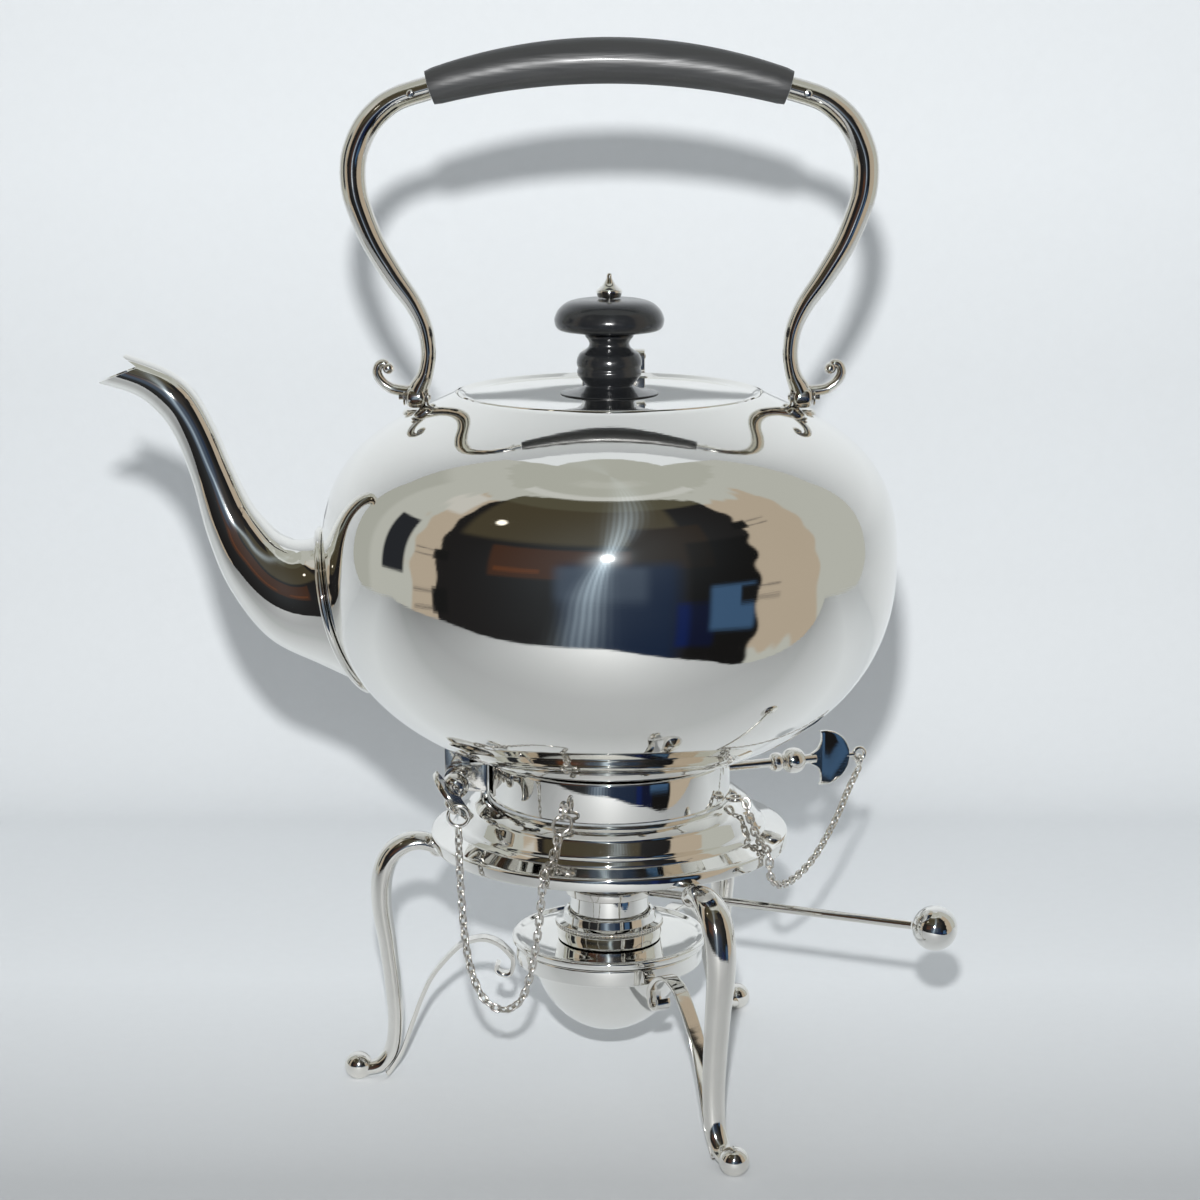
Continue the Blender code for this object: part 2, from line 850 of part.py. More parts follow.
def knob():
    """The ebony stem and cap, with the screw and nut that hold them on the lid."""
    bore = FINIAL_ROD_RADIUS + BORE_GAP
    stem_z = lid_top_z() + GAP
    stem = turned(
        "knob_stem",
        bored(scaled(KNOB_STEM_SHARES, KNOB_STEM_RADIUS, KNOB_STEM_HEIGHT, stem_z), bore),
        SMALL_STEPS + 2,
        EBONY,
        ring=True,
    )
    cap_z = stem_z + KNOB_STEM_HEIGHT + GAP
    cap = turned(
        "knob_cap",
        bored(scaled(KNOB_CAP_SHARES, KNOB_CAP_RADIUS, KNOB_CAP_HEIGHT, cap_z), bore),
        SMALL_STEPS + 2,
        EBONY,
        ring=True,
    )
    finial_z = cap_z + KNOB_CAP_HEIGHT + GAP
    tail_z = lid_base_z() - FINIAL_TAIL
    finial = turned(
        "finial_screw",
        scaled(FINIAL_SHARES, FINIAL_RADIUS, FINIAL_HEIGHT, finial_z)
        + [(FINIAL_ROD_RADIUS, finial_z), (FINIAL_ROD_RADIUS, tail_z), (0, tail_z)],
        SMALL_STEPS,
        SILVER,
    )
    nut_z = lid_base_z() + LID_RIM_RISE - GAP - NUT_HEIGHT / 2
    hexagon = circle(NUT_RADIUS, 6)
    hole = circle(bore, PIN_STEPS)
    nut = plate("knob_nut", [hexagon, hole], NUT_HEIGHT, Matrix.Translation((0, 0, nut_z)))
    return stem, cap, finial, nut


# Lid hinge, its drawings in the YZ plane
def side_on(x):
    """A drawing plane square to X: across is +Y, up is +Z."""
    turn = Matrix(((0, 0, 1, 0), (1, 0, 0, 0), (0, 1, 0, 0), (0, 0, 0, 1)))
    return Matrix.Translation((x, 0, 0)) @ turn


def lid_hinge(envelope):
    pin_hole = circle(LID_PIN_RADIUS + BORE_GAP, PIN_STEPS, (LID_HINGE_Y, LID_HINGE_Z))
    leaf_z = lid_top_z() + GAP
    strap_top = leaf_z + LID_LEAF_THICKNESS
    centre = (LID_HINGE_Y, LID_HINGE_Z)
    knuckle = circle(
        LID_BARREL_RADIUS, 12, centre, math.radians(-75), math.radians(245)
    )
    leaf_outline = [
        (LID_HINGE_Y - LID_BARREL_RADIUS - LID_LEAF_LENGTH, leaf_z),
        (LID_HINGE_Y, leaf_z),
        *knuckle,
        (LID_HINGE_Y - LID_BARREL_RADIUS - LID_LEAF_THICKNESS, strap_top),
        (LID_HINGE_Y - LID_BARREL_RADIUS - LID_LEAF_LENGTH, strap_top),
    ]
    leaf = plate(
        "lid_hinge_leaf", [leaf_outline, pin_hole], 2 * LID_LEAF_HALF_WIDTH, side_on(0)
    )
    inner = LID_LEAF_HALF_WIDTH + GAP
    width = LID_BASE_HALF_WIDTH - inner
    foot_z = body_over_z(LID_HINGE_Y) - LID_BASE_DEPTH
    floor_z = leaf_z - LID_BASE_FLOOR_DROP
    front = NECK_RADIUS + NECK_SEAT_WIDTH + LID_OVERHANG + 2 * GAP
    back = front + LID_BASE_DEPTH
    ear_outline = [
        (front, foot_z),
        (back, foot_z),
        *circle(LID_BARREL_RADIUS, 10, centre, 0, math.pi),
        (front, floor_z),
    ]
    base = box(
        "lid_hinge_base",
        (-LID_BASE_HALF_WIDTH, front, foot_z),
        (LID_BASE_HALF_WIDTH, back, floor_z),
    )
    for sign in (-1, 1):
        place = side_on(sign * (inner + width / 2))
        fuse(base, plate("lid_hinge_ear", [ear_outline, pin_hole], width, place))
    cut(base, envelope)
    half = LID_BASE_HALF_WIDTH + LID_PIN_RADIUS / 2
    pin = rod(
        "lid_hinge_pin",
        (-half, LID_HINGE_Y, LID_HINGE_Z),
        (half, LID_HINGE_Y, LID_HINGE_Z),
        LID_PIN_RADIUS,
    )
    return leaf, base, pin


# Handle
ARM_SHARES = (
    # out, up, thickness, depth
    (0.813, 0.9694, 0.93, 0.95),
    (0.884, 0.9356, 0.97, 1.0),
    (0.942, 0.886, 1.0, 1.0),
    (0.982, 0.8194, 1.0, 1.0),
    (1.0, 0.7508, 1.0, 1.0),
    (0.996, 0.6716, 0.99, 1.0),
    (0.972, 0.5977, 0.96, 0.98),
    (0.924, 0.4974, 0.93, 0.95),
    (0.852, 0.3918, 0.88, 0.9),
    (0.780, 0.3052, 0.77, 0.83),
    (0.735, 0.2281, 0.67, 0.77),
    (0.721, 0.1542, 0.62, 0.72),
    (0.741, 0.1014, 0.59, 0.7),
    (0.783, 0.0708, 0.52, 0.66),
    (0.813, 0.0444, 0.47, 0.62),
    (0.8163, 0.0116, 0.4, 0.6),
)
SCROLL_SHARES = (
    # out and up from the arm's eye, thickness
    (0.09, -0.04, 1.0),
    (0.465, 0.0, 1.0),
    (0.82, 0.2, 0.95),
    (1.0, 0.55, 0.85),
    (0.915, 0.9, 0.75),
    (0.66, 1.0, 0.7),
    (0.53, 0.81, 0.7),
)


def grip_arc():
    """(centre height, radius, end angle) of the grip's bow."""
    radius = (GRIP_HALF_SPAN**2 + GRIP_END_DROP**2) / (2 * GRIP_END_DROP)
    return GRIP_MIDDLE_Z - radius, radius, math.asin(GRIP_HALF_SPAN / radius)


def grip_point(angle):
    centre_z, radius, _ = grip_arc()
    return Vector((radius * math.sin(angle), 0, centre_z + radius * math.cos(angle)))


def grip_run(angle):
    return Vector((math.cos(angle), 0, -math.sin(angle)))


def grip():
    _, _, end = grip_arc()
    rings = []
    for index in range(GRIP_STATIONS + 1):
        share = 2 * index / GRIP_STATIONS - 1
        angle = share * end
        radius = GRIP_END_RADIUS + (GRIP_MIDDLE_RADIUS - GRIP_END_RADIUS) * (1 - share**2)
        out = Vector((math.sin(angle), 0, math.cos(angle)))
        rings.append(
            [
                grip_point(angle) + out * u + Vector((0, v, 0))
                for u, v in circle(radius, GRIP_SIDES)
            ]
        )
    piece = loft("handle_grip", rings, EBONY)
    for sign in (-1, 1):
        point = grip_point(sign * end)
        run = grip_run(sign * end) * sign
        tenon = rod("grip_tenon", point - run * OVERRUN, point + run * TENON_LENGTH, TENON_RADIUS)
        fuse(piece, tenon)
        cut(piece, rivet_hole(sign))
    return piece


def rivet_place(sign):
    _, _, end = grip_arc()
    return grip_point(sign * end) + grip_run(sign * end) * sign * RIVET_INSET


def rivet_hole(sign):
    place = rivet_place(sign)
    half = Vector((0, ARM_DEPTH, 0))
    return as_cutter(rod("rivet_hole", place - half, place + half, RIVET_RADIUS + BORE_GAP))


def grip_rivet(name, sign):
    """A rivet through the arm and the tenon, with a small head on each side."""
    reach = ARM_DEPTH / 2 + GAP
    head = RIVET_HEAD_HEIGHT
    dome_out, dome_up = RIVET_DOME_SHARES
    profile = [
        (0, reach + head),
        (RIVET_HEAD_RADIUS * dome_out, reach + head * dome_up),
        (RIVET_HEAD_RADIUS, reach),
        (RIVET_RADIUS, reach),
        (RIVET_RADIUS, -reach),
        (RIVET_HEAD_RADIUS, -reach),
        (RIVET_HEAD_RADIUS * dome_out, -reach - head * dome_up),
        (0, -reach - head),
    ]
    piece = turned(name, profile, 12, SILVER)
    piece.matrix_world = along((0, 1, 0), rivet_place(sign))
    return piece


def oval_shares(sides):
    return [(u, v) for u, v in circle(0.5, sides)]


def mirrored(rings, sign):
    if sign > 0:
        return rings
    return [[Vector((-point.x, point.y, point.z)) for point in ring] for ring in rings]


def handle_arm(name, sign):
    """One silver arm: socket at the grip, sweep, eye at the pivot and end scroll."""
    _, _, end = grip_arc()
    start = grip_point(end) + grip_run(end) * GAP
    stations = [(start.x, start.z, ARM_THICKNESS, ARM_DEPTH)]
    for out, up, thick_share, depth_share in ARM_SHARES:
        stations.append((
            out * HANDLE_HALF_SPAN,
            HANDLE_PIVOT_Z + up * HANDLE_RISE,
            thick_share * ARM_THICKNESS,
            depth_share * ARM_DEPTH,
        ))
    section = oval_shares(ARM_SIDES)
    arm = loft(name, mirrored(bar_rings(smooth_through(stations, 2), section), sign), SILVER)
    eye_x = EYE_INNER_X + EYE_WIDTH / 2
    scroll = []
    for out, up, thick_share in SCROLL_SHARES:
        thickness = thick_share * SCROLL_THICKNESS
        scroll.append((
            eye_x + out * SCROLL_SIZE,
            HANDLE_PIVOT_Z + up * SCROLL_SIZE + EYE_RADIUS,
            thickness,
            thickness,
        ))
    ball_x, ball_z = scroll[-1][0:2]
    curl = bar_rings(smooth_through(scroll, 2), oval_shares(SCROLL_SIDES))
    fuse(arm, loft("scroll", mirrored(curl, sign), SILVER))
    fuse(arm, ball("scroll_ball", (sign * ball_x, 0, ball_z), SCROLL_BALL_RADIUS, sides=10))
    eye = rod(
        "arm_eye",
        (sign * EYE_INNER_X, 0, HANDLE_PIVOT_Z),
        (sign * (EYE_INNER_X + EYE_WIDTH), 0, HANDLE_PIVOT_Z),
        EYE_RADIUS,
        sides=SMALL_STEPS,
    )
    fuse(arm, eye)
    run = grip_run(sign * end) * sign
    point = grip_point(sign * end)
    socket = rod(
        "arm_socket",
        point - run * OVERRUN,
        point + run * SOCKET_DEPTH,
        TENON_RADIUS + BORE_GAP,
    )
    cut(arm, as_cutter(socket))
    cut(arm, rivet_hole(sign))
    blind = EYE_INNER_X + EYE_WIDTH - PIVOT_END_PLAY
    hole = rod(
        "eye_hole",
        (sign * (EYE_INNER_X - OVERRUN / 4), 0, HANDLE_PIVOT_Z),
        (sign * blind, 0, HANDLE_PIVOT_Z),
        PIVOT_RADIUS + BORE_GAP,
    )
    cut(arm, as_cutter(hole))
    return arm


def handle_lug(name, sign, envelope):
    """A post on the kettle's shoulder with a round head that the handle turns on."""
    outer = EYE_INNER_X - GAP
    middle = outer - LUG_WIDTH / 2
    foot_z = body_over_z(outer) - LUG_WIDTH
    outline = [
        (-LUG_SPREAD, foot_z),
        (LUG_SPREAD, foot_z),
        *circle(EYE_RADIUS, 14, (0, HANDLE_PIVOT_Z), 0, math.pi),
    ]
    hole = circle(PIVOT_RADIUS + BORE_GAP, PIN_STEPS, (0, HANDLE_PIVOT_Z))
    lug = plate(name, [outline, hole], LUG_WIDTH, side_on(sign * middle))
    cut(lug, envelope)
    return lug


def handle_pivot(name, sign):
    outer = EYE_INNER_X + EYE_WIDTH - PIVOT_END_PLAY - GAP
    inner = HANDLE_PIVOT_INNER_X
    length = outer - inner
    profile = [
        (0, length),
        (PIVOT_RADIUS, length),
        (PIVOT_RADIUS, 0),
        (PIVOT_HEAD_RADIUS, 0),
        (PIVOT_HEAD_RADIUS, -PIVOT_HEAD_WIDTH / 2),
        (PIVOT_HEAD_RADIUS / 2, -PIVOT_HEAD_WIDTH),
        (0, -PIVOT_HEAD_WIDTH),
    ]
    piece = turned(name, profile, PIN_STEPS, SILVER)
    piece.matrix_world = along((sign, 0, 0), (sign * inner, 0, HANDLE_PIVOT_Z))
    return piece


# Stand
SKIRT_SHARES = (
    (0.036, 1.0),
    (0.155, 0.981),
    (0.285, 0.897),
    (0.378, 0.813),
    (0.513, 0.555),
    (0.544, 0.51),
    (0.585, 0.471),
    (0.632, 0.387),
    (0.632, 0.361),
    (0.922, 0.277),
    (1.0, 0.252),
    (1.0, 0.0),
    (0.917, 0.0),
    (0.917, 0.161),
    (0.57, 0.245),
    (0.456, 0.46),
    (0.25, 0.8),
    (0.0, 0.91),
)


def collar_outer():
    return COLLAR_BORE_RADIUS + COLLAR_WALL


def lock_hole(name):
    """The lock pin's hole, right through the collar and the kettle's foot ring."""
    return as_cutter(
        rod(
            name,
            polar(FOOT_RING_RADIUS - FOOT_RING_WALL - OVERRUN, LOCK_PIN_AZIMUTH, LOCK_PIN_Z),
            polar(collar_outer() + OVERRUN, LOCK_PIN_AZIMUTH, LOCK_PIN_Z),
            PIN_RADIUS + BORE_GAP,
        )
    )


def collar():
    outer = collar_outer()
    top = body_under_z(outer) - COLLAR_KETTLE_CLEARANCE
    profile = [
        (COLLAR_BORE_RADIUS, top),
        (outer - COLLAR_LIP / 2, top),
        (outer, top - COLLAR_LIP),
        (outer, COLLAR_BASE_Z),
        (COLLAR_BORE_RADIUS, COLLAR_BASE_Z),
    ]
    piece = turned("stand_collar", profile, BODY_STEPS, SILVER, ring=True)
    cut(piece, lock_hole("collar_lock_hole"))
    return piece


def skirt():
    height = COLLAR_BASE_Z - GAP - SKIRT_RIM_Z
    span = SKIRT_RIM_RADIUS - SKIRT_BORE_RADIUS
    profile = [
        (SKIRT_BORE_RADIUS + out * span, SKIRT_RIM_Z + up * height)
        for out, up in SKIRT_SHARES
    ]
    return turned("stand_skirt", profile, BODY_STEPS, SILVER, ring=True)


LEG_SHARES = (
    # out from the rim and up from the floor, width and thickness
    (-0.07, 0.955, 0.64, 0.76),
    (0.125, 0.976, 0.78, 0.85),
    (0.341, 0.966, 0.94, 0.94),
    (0.537, 0.916, 1.0, 1.0),
    (0.643, 0.825, 0.98, 1.0),
    (0.655, 0.711, 0.92, 0.94),
    (0.592, 0.566, 0.84, 0.85),
    (0.529, 0.398, 0.78, 0.79),
    (0.502, 0.253, 0.73, 0.74),
    (0.545, 0.1325, 0.69, 0.71),
    (0.675, 0.063, 0.65, 0.7),
    (0.851, 0.041, 0.61, 0.67),
    (1.0, 0.0506, 0.59, 0.64),
)
LEG_SECTION_SHARES = (
    (0.56, 0.0),
    (0.14, 0.5),
    (-0.4, 0.42),
    (-0.44, 0.0),
    (-0.4, -0.42),
    (0.14, -0.5),
)
STRAP_SHARES = (
    # out and up, as shares of the strap's spread radius and crown height
    (0.881, 0.401),
    (0.839, 0.576),
    (0.791, 0.73),
    (0.72, 0.868),
    (0.662, 0.953),
    (0.606, 0.992),
    (0.546, 1.0),
    (0.487, 0.963),
    (0.441, 0.895),
    (0.427, 0.85),
    (0.437, 0.772),
    (0.471, 0.757),
    (0.501, 0.788),
    (0.495, 0.831),
)
STRAP_SECTION_SHARES = ((0.5, -0.4), (0.5, 0.4), (-0.5, 0.5), (-0.5, -0.5))


def leg_stations():
    reach = FOOT_SPREAD_RADIUS - SKIRT_RIM_RADIUS
    return [
        (
            SKIRT_RIM_RADIUS + out * reach,
            up * SKIRT_RIM_Z,
            thick_share * LEG_THICKNESS,
            wide_share * LEG_WIDTH,
        )
        for out, up, wide_share, thick_share in LEG_SHARES
    ]


def beside_leg(index, further=0.0):
    """(out, up) of a strap that lies against the inner side of the leg at this station."""
    before, here, after = leg_stations()[index - 1 : index + 2]
    run = Vector((after[0] - before[0], after[1] - before[1])).normalized()
    inner_share = -min(across for across, side in LEG_SECTION_SHARES)
    away = inner_share * here[2] + 2 * GAP + STRAP_THICKNESS / 2
    return here[0] + run.y * away + run.x * further, here[1] - run.x * away + run.y * further


def leg(name, azimuth):
    """A cabriole leg with a bud under the skirt's rim and a ball for a foot."""
    rings = bar_rings(smooth_through(leg_stations(), 2), LEG_SECTION_SHARES, azimuth)
    piece = loft(name, rings, SILVER)
    bud_z = SKIRT_RIM_Z - GAP - BUD_RADIUS
    bud = polar(SKIRT_RIM_RADIUS - BUD_INSET, azimuth, bud_z)
    fuse(piece, ball("leg_bud", bud, BUD_RADIUS, sides=10))
    foot = polar(FOOT_SPREAD_RADIUS, azimuth, FOOT_CENTRE_Z)
    fuse(piece, ball("foot_ball", foot, FOOT_BALL_RADIUS, sides=14))
    reach = 2 * FOOT_BALL_RADIUS
    under = polar(FOOT_SPREAD_RADIUS, azimuth, 0)
    floor = box(
        "floor_cut",
        under - Vector((reach, reach, reach)),
        under + Vector((reach, reach, 0)),
    )
    cut(piece, as_cutter(floor))
    return piece


def strap(name, azimuth):
    """A flat strap from a leg's foot over to the lamp cradle, ending in a curl."""
    path = [beside_leg(10, STRAP_THICKNESS), beside_leg(10), beside_leg(9)]
    path += [(out * STRAP_SPREAD_RADIUS, up * STRAP_CROWN_Z) for out, up in STRAP_SHARES]
    stations = [(out, up, STRAP_THICKNESS, STRAP_WIDTH) for out, up in path]
    rings = bar_rings(smooth_through(stations, 2), STRAP_SECTION_SHARES, azimuth)
    return loft(name, rings, SILVER)


def cradle():
    top = LAMP_SEAT_Z - GAP
    profile = [
        (CRADLE_BORE_RADIUS, top),
        (CRADLE_RADIUS, top),
        (CRADLE_RADIUS, top - CRADLE_HEIGHT),
        (CRADLE_BORE_RADIUS, top - CRADLE_HEIGHT),
    ]
    return turned("lamp_cradle", profile, ROUND_STEPS, SILVER, ring=True)


# Tilt hinge, its drawings in the XZ plane
def front_on(y):
    """A drawing plane square to Y: across is +X, up is +Z."""
    return Matrix.Translation((0, y, 0)) @ Matrix.Rotation(math.pi / 2, 4, "X")


def hinge_bracket():
    """Plate on the collar with two ears for the tilt pin."""
    face_x = -collar_outer() - GAP
    back_x = face_x - TILT_PLATE_THICKNESS
    inner = TILT_LUG_HALF_WIDTH + GAP
    outer = inner + TILT_EAR_WIDTH
    top = COLLAR_BASE_Z + TILT_PLATE_HEIGHT
    bracket = box("hinge_bracket", (back_x, -outer, COLLAR_BASE_Z), (face_x, outer, top))
    centre = (TILT_X, TILT_Z)
    ear_outline = [
        (face_x, COLLAR_BASE_Z + TILT_PLATE_THICKNESS),
        (face_x, top),
        *circle(TILT_HUB_RADIUS, 14, centre, math.pi / 2, math.pi),
    ]
    hole = circle(PIN_RADIUS + BORE_GAP, PIN_STEPS, centre)
    for sign in (-1, 1):
        ear = plate(
            "hinge_ear",
            [ear_outline, hole],
            TILT_EAR_WIDTH,
            front_on(sign * (inner + outer) / 2),
        )
        fuse(bracket, ear)
    return bracket


def kettle_hinge_lug(envelope):
    """Knuckle between the bracket's ears, with a neck up to the body."""
    centre = (TILT_X, TILT_Z)
    top = body_under_z(TILT_HUB_RADIUS - TILT_X) + TILT_HUB_RADIUS
    outline = [
        (TILT_X + TILT_HUB_RADIUS, TILT_Z),
        (TILT_X + TILT_HUB_RADIUS, top),
        (TILT_X - TILT_HUB_RADIUS, top),
        *circle(TILT_HUB_RADIUS, 14, centre, math.pi, math.pi)[:-1],
    ]
    hole = circle(PIN_RADIUS + BORE_GAP, PIN_STEPS, centre)
    lug = plate("kettle_hinge_lug", [outline, hole], 2 * TILT_LUG_HALF_WIDTH, front_on(0))
    cut(lug, envelope)
    return lug


# Lamp
def quarter(radius, depth, top, steps):
    """A quarter oval from its rim down to the axis."""
    points = []
    for index in range(steps + 1):
        angle = math.pi / 2 * index / steps
        points.append((radius * math.cos(angle), top - depth * math.sin(angle)))
    points[-1] = (0, top - depth)
    return points


def lamp_bowl():
    top = LAMP_SEAT_Z - GAP
    outer = quarter(LAMP_BOWL_RADIUS, LAMP_BOWL_DEPTH, top, 8)
    wall = LAMP_BOWL_WALL
    inner = quarter(LAMP_BOWL_RADIUS - wall, LAMP_BOWL_DEPTH - wall, top, 6)
    return turned("lamp_bowl", inner[::-1] + outer, ROUND_STEPS, SILVER)


LAMP_TOP_SHARES = (
    # radius share, height share
    (0.956, 1.0),
    (0.981, 1.0),
    (1.0, 0.82),
    (1.0, 0.4),
    (0.975, 0.03),
    (0.823, 0.0),
)
LAMP_TOP_UPPER_SHARES = (
    (0.54, 0.43),
    (0.76, 0.46),
    (0.9, 0.68),
)


def lamp_top():
    inside = BURNER_NECK_RADIUS + BORE_GAP
    outer = scaled(LAMP_TOP_SHARES, LAMP_TOP_RADIUS, LAMP_TOP_HEIGHT, LAMP_SEAT_Z)
    upper = scaled(LAMP_TOP_UPPER_SHARES, LAMP_TOP_RADIUS, LAMP_TOP_HEIGHT, LAMP_SEAT_Z)
    profile = [(inside, upper[0][1])] + upper + outer + [(inside, LAMP_SEAT_Z)]
    return turned("lamp_top", profile, ROUND_STEPS, SILVER, ring=True)


BURNER_SHARES = (
    (0.98, 1.0),
    (1.0, 0.93),
    (1.0, 0.77),
    (0.96, 0.71),
    (0.97, 0.42),
    (0.95, 0.0),
)


def burner_seat_z():
    """Where the burner collar rests on the lamp's top plate."""
    return LAMP_SEAT_Z + LAMP_TOP_HEIGHT * LAMP_TOP_UPPER_SHARES[1][1] + GAP


def burner_collar():
    seat = burner_seat_z()
    height = BURNER_HEIGHT - (seat - LAMP_SEAT_Z)
    outer = scaled(BURNER_SHARES, BURNER_RADIUS, height, seat)
    bore = WICK_TUBE_RADIUS + BORE_GAP
    neck_z = LAMP_SEAT_Z - BURNER_NECK_DEPTH
    neck = [(BURNER_NECK_RADIUS, seat), (BURNER_NECK_RADIUS, neck_z), (bore, neck_z)]
    profile = [(bore, outer[0][1])] + outer + neck
    return turned("burner_collar", profile, ROUND_STEPS, SILVER, ring=True)


def tube(name, bore, radius, base, top, steps, material):
    profile = [(bore, top), (radius, top), (radius, base), (bore, base)]
    return turned(name, profile, steps, material, ring=True)


def wick():
    """Cotton, slightly crowned at the top."""
    crown = WICK_RADIUS / 8
    profile = [
        (0, WICK_TOP_Z),
        (WICK_RADIUS * WICK_CROWN_SHARE, WICK_TOP_Z - crown / 2),
        (WICK_RADIUS, WICK_TOP_Z - crown),
        (WICK_RADIUS, WICK_BASE_Z),
        (0, WICK_BASE_Z),
    ]
    return turned("wick", profile, SMALL_STEPS, COTTON)


def regulator():
    """The ring round the flame sleeve, its long rod and the ball that is its handle."""
    bore = SLEEVE_RADIUS + BORE_GAP
    outer = bore + REGULATOR_RING_WALL
    low = REGULATOR_Z - REGULATOR_RING_HEIGHT / 2
    high = REGULATOR_Z + REGULATOR_RING_HEIGHT / 2
    ring = tube("regulator_ring", bore, outer, low, high, ROUND_STEPS, SILVER)
    arm = rod(
        "regulator_rod",
        polar(outer + GAP, REGULATOR_AZIMUTH, REGULATOR_Z),
        polar(REGULATOR_REACH_RADIUS, REGULATOR_AZIMUTH, REGULATOR_Z),
        REGULATOR_ROD_RADIUS,
    )
    away = REGULATOR_REACH_RADIUS + GAP + REGULATOR_BALL_RADIUS
    knob_ball = ball(
        "regulator_ball",
        polar(away, REGULATOR_AZIMUTH, REGULATOR_Z),
        REGULATOR_BALL_RADIUS,
        sides=20,
    )
    return ring, arm, knob_ball


# Draw-out pins
def turned_bead(low, high, radius, neck, steps):
    """Points down the outer side of a rounded bead between two heights."""
    middle = (low + high) / 2
    half = (high - low) / 2
    points = []
    for index in range(steps + 1):
        angle = math.pi / 2 - math.pi * index / steps
        points.append((neck + (radius - neck) * math.cos(angle), middle + half * math.sin(angle)))
    return points


def pin_blade_z():
    return COLLAR_BEAD_LENGTH + GAP + BALL_BEAD_LENGTH + PIN_NECK_LENGTH


def pin_eye_z():
    return pin_blade_z() + BLADE_LENGTH + PIN_EYE_RADIUS + PIN_EYE_WIRE + EYE_STEM_RADIUS


BLADE_INNER_SHARES = ((0.66, 0.25), (0.36, 0.17), (0.2, 0.0))


def blade_outline():
    """An axe head: round outer edge, two backswept points, hollow inner edges."""
    base = pin_blade_z()
    arc = BLADE_HALF_WIDTH
    centre_z = base + BLADE_LENGTH - arc
    dip = math.radians(9)
    outline = circle(arc, 15, (0, centre_z), -dip, math.pi + 2 * dip)
    inner = [
        (out * BLADE_HALF_WIDTH, base + up * BLADE_LENGTH) for out, up in BLADE_INNER_SHARES
    ]
    return outline + [(-out, up) for out, up in inner] + inner[::-1]


def draw_pin(name, tail, place, blade_roll):
    """A pin that draws out by its blade: local +Z points out, and z = 0 is the bead's seat."""
    ball_base = COLLAR_BEAD_LENGTH + GAP
    ball_top = ball_base + BALL_BEAD_LENGTH
    blade_base = pin_blade_z()
    profile = [(0, blade_base + PIN_NECK_RADIUS), (PIN_NECK_RADIUS, blade_base + PIN_NECK_RADIUS)]
    profile += turned_bead(ball_base, ball_top, BALL_BEAD_RADIUS, PIN_NECK_RADIUS, 6)
    profile += turned_bead(0, COLLAR_BEAD_LENGTH, COLLAR_BEAD_RADIUS, PIN_NECK_RADIUS, 4)
    profile += [
        (PIN_RADIUS, 0),
        (PIN_RADIUS, -tail + PIN_RADIUS / 2),
        (PIN_RADIUS / 2, -tail),
        (0, -tail),
    ]
    pin = turned(name, profile, PIN_STEPS, SILVER)
    pin.matrix_world = place
    rolled = place @ Matrix.Rotation(blade_roll, 4, "Z")
    drawn = rolled @ Matrix.Rotation(math.pi / 2, 4, "X")
    fuse(pin, plate(name + "_blade", [blade_outline()], BLADE_THICKNESS, drawn))
    stem_base = blade_base + BLADE_LENGTH - OVERRUN / 2
    stem_top = pin_eye_z() - PIN_EYE_RADIUS
    fuse(
        pin,
        rod(
            name + "_stem",
            place @ Vector((0, 0, stem_base)),
            place @ Vector((0, 0, stem_top)),
            EYE_STEM_RADIUS,
            sides=8,
        ),
    )
    eye_place = rolled @ Matrix.Translation((0, 0, pin_eye_z())) @ Matrix.Rotation(math.pi / 2, 4, "X")
    fuse(pin, wire_ring(name + "_eye", PIN_EYE_RADIUS, PIN_EYE_WIRE, eye_place))
    return pin, rolled


def jump_ring(name, rolled, radius):
    """A wire ring hanging in a pin's eye, and the place just under it where the chain starts."""
    eye = rolled @ Vector((0, 0, pin_eye_z()))
    normal = (rolled.to_3x3() @ Vector((0, 1, 0))).normalized()
    hang = Vector((0, 0, -1))
    hang = (hang - normal * hang.dot(normal)).normalized()
    rest = PIN_EYE_RADIUS - PIN_EYE_WIRE - JUMP_RING_WIRE - GAP
    centre = eye + hang * (rest + radius)
    ring = wire_ring(name, radius, JUMP_RING_WIRE, along(normal.cross(hang), centre))
    return ring, centre - Vector((0, 0, radius + JUMP_RING_WIRE + GAP))


def chain_lug_centre(azimuth, height):
    away = collar_outer() + GAP + CHAIN_LUG_RADIUS + CHAIN_LUG_WIRE
    return polar(away, azimuth, height)


def chain_lug(name, azimuth, height, upright):
    """A small ring fixed to the foot of the collar."""
    centre = chain_lug_centre(azimuth, height)
    axis = polar(1, azimuth + 90, 0) if upright else Vector((0, 0, 1))
    return wire_ring(name, CHAIN_LUG_RADIUS, CHAIN_LUG_WIRE, along(axis, centre))


def front_lug_z():
    return COLLAR_BASE_Z + 2 * CHAIN_LUG_RADIUS


def side_lug_z():
    return COLLAR_BASE_Z + 2 * CHAIN_LUG_WIRE


def chain_clear():
    """From a lug's centre to the end of the chain that hangs on it."""
    return CHAIN_LUG_RADIUS + CHAIN_LUG_WIRE + GAP


# Chains
def evenly(points, spacing):
    """Points at an even spacing along a finely sampled line."""
    found = [points[0]]
    travelled = 0.0
    for start, end in zip(points, points[1:]):
        length = (end - start).length
        while travelled + length >= spacing:
            start = start.lerp(end, (spacing - travelled) / length)
            found.append(start)
            length = (end - start).length
            travelled = 0.0
        travelled += length
    return found


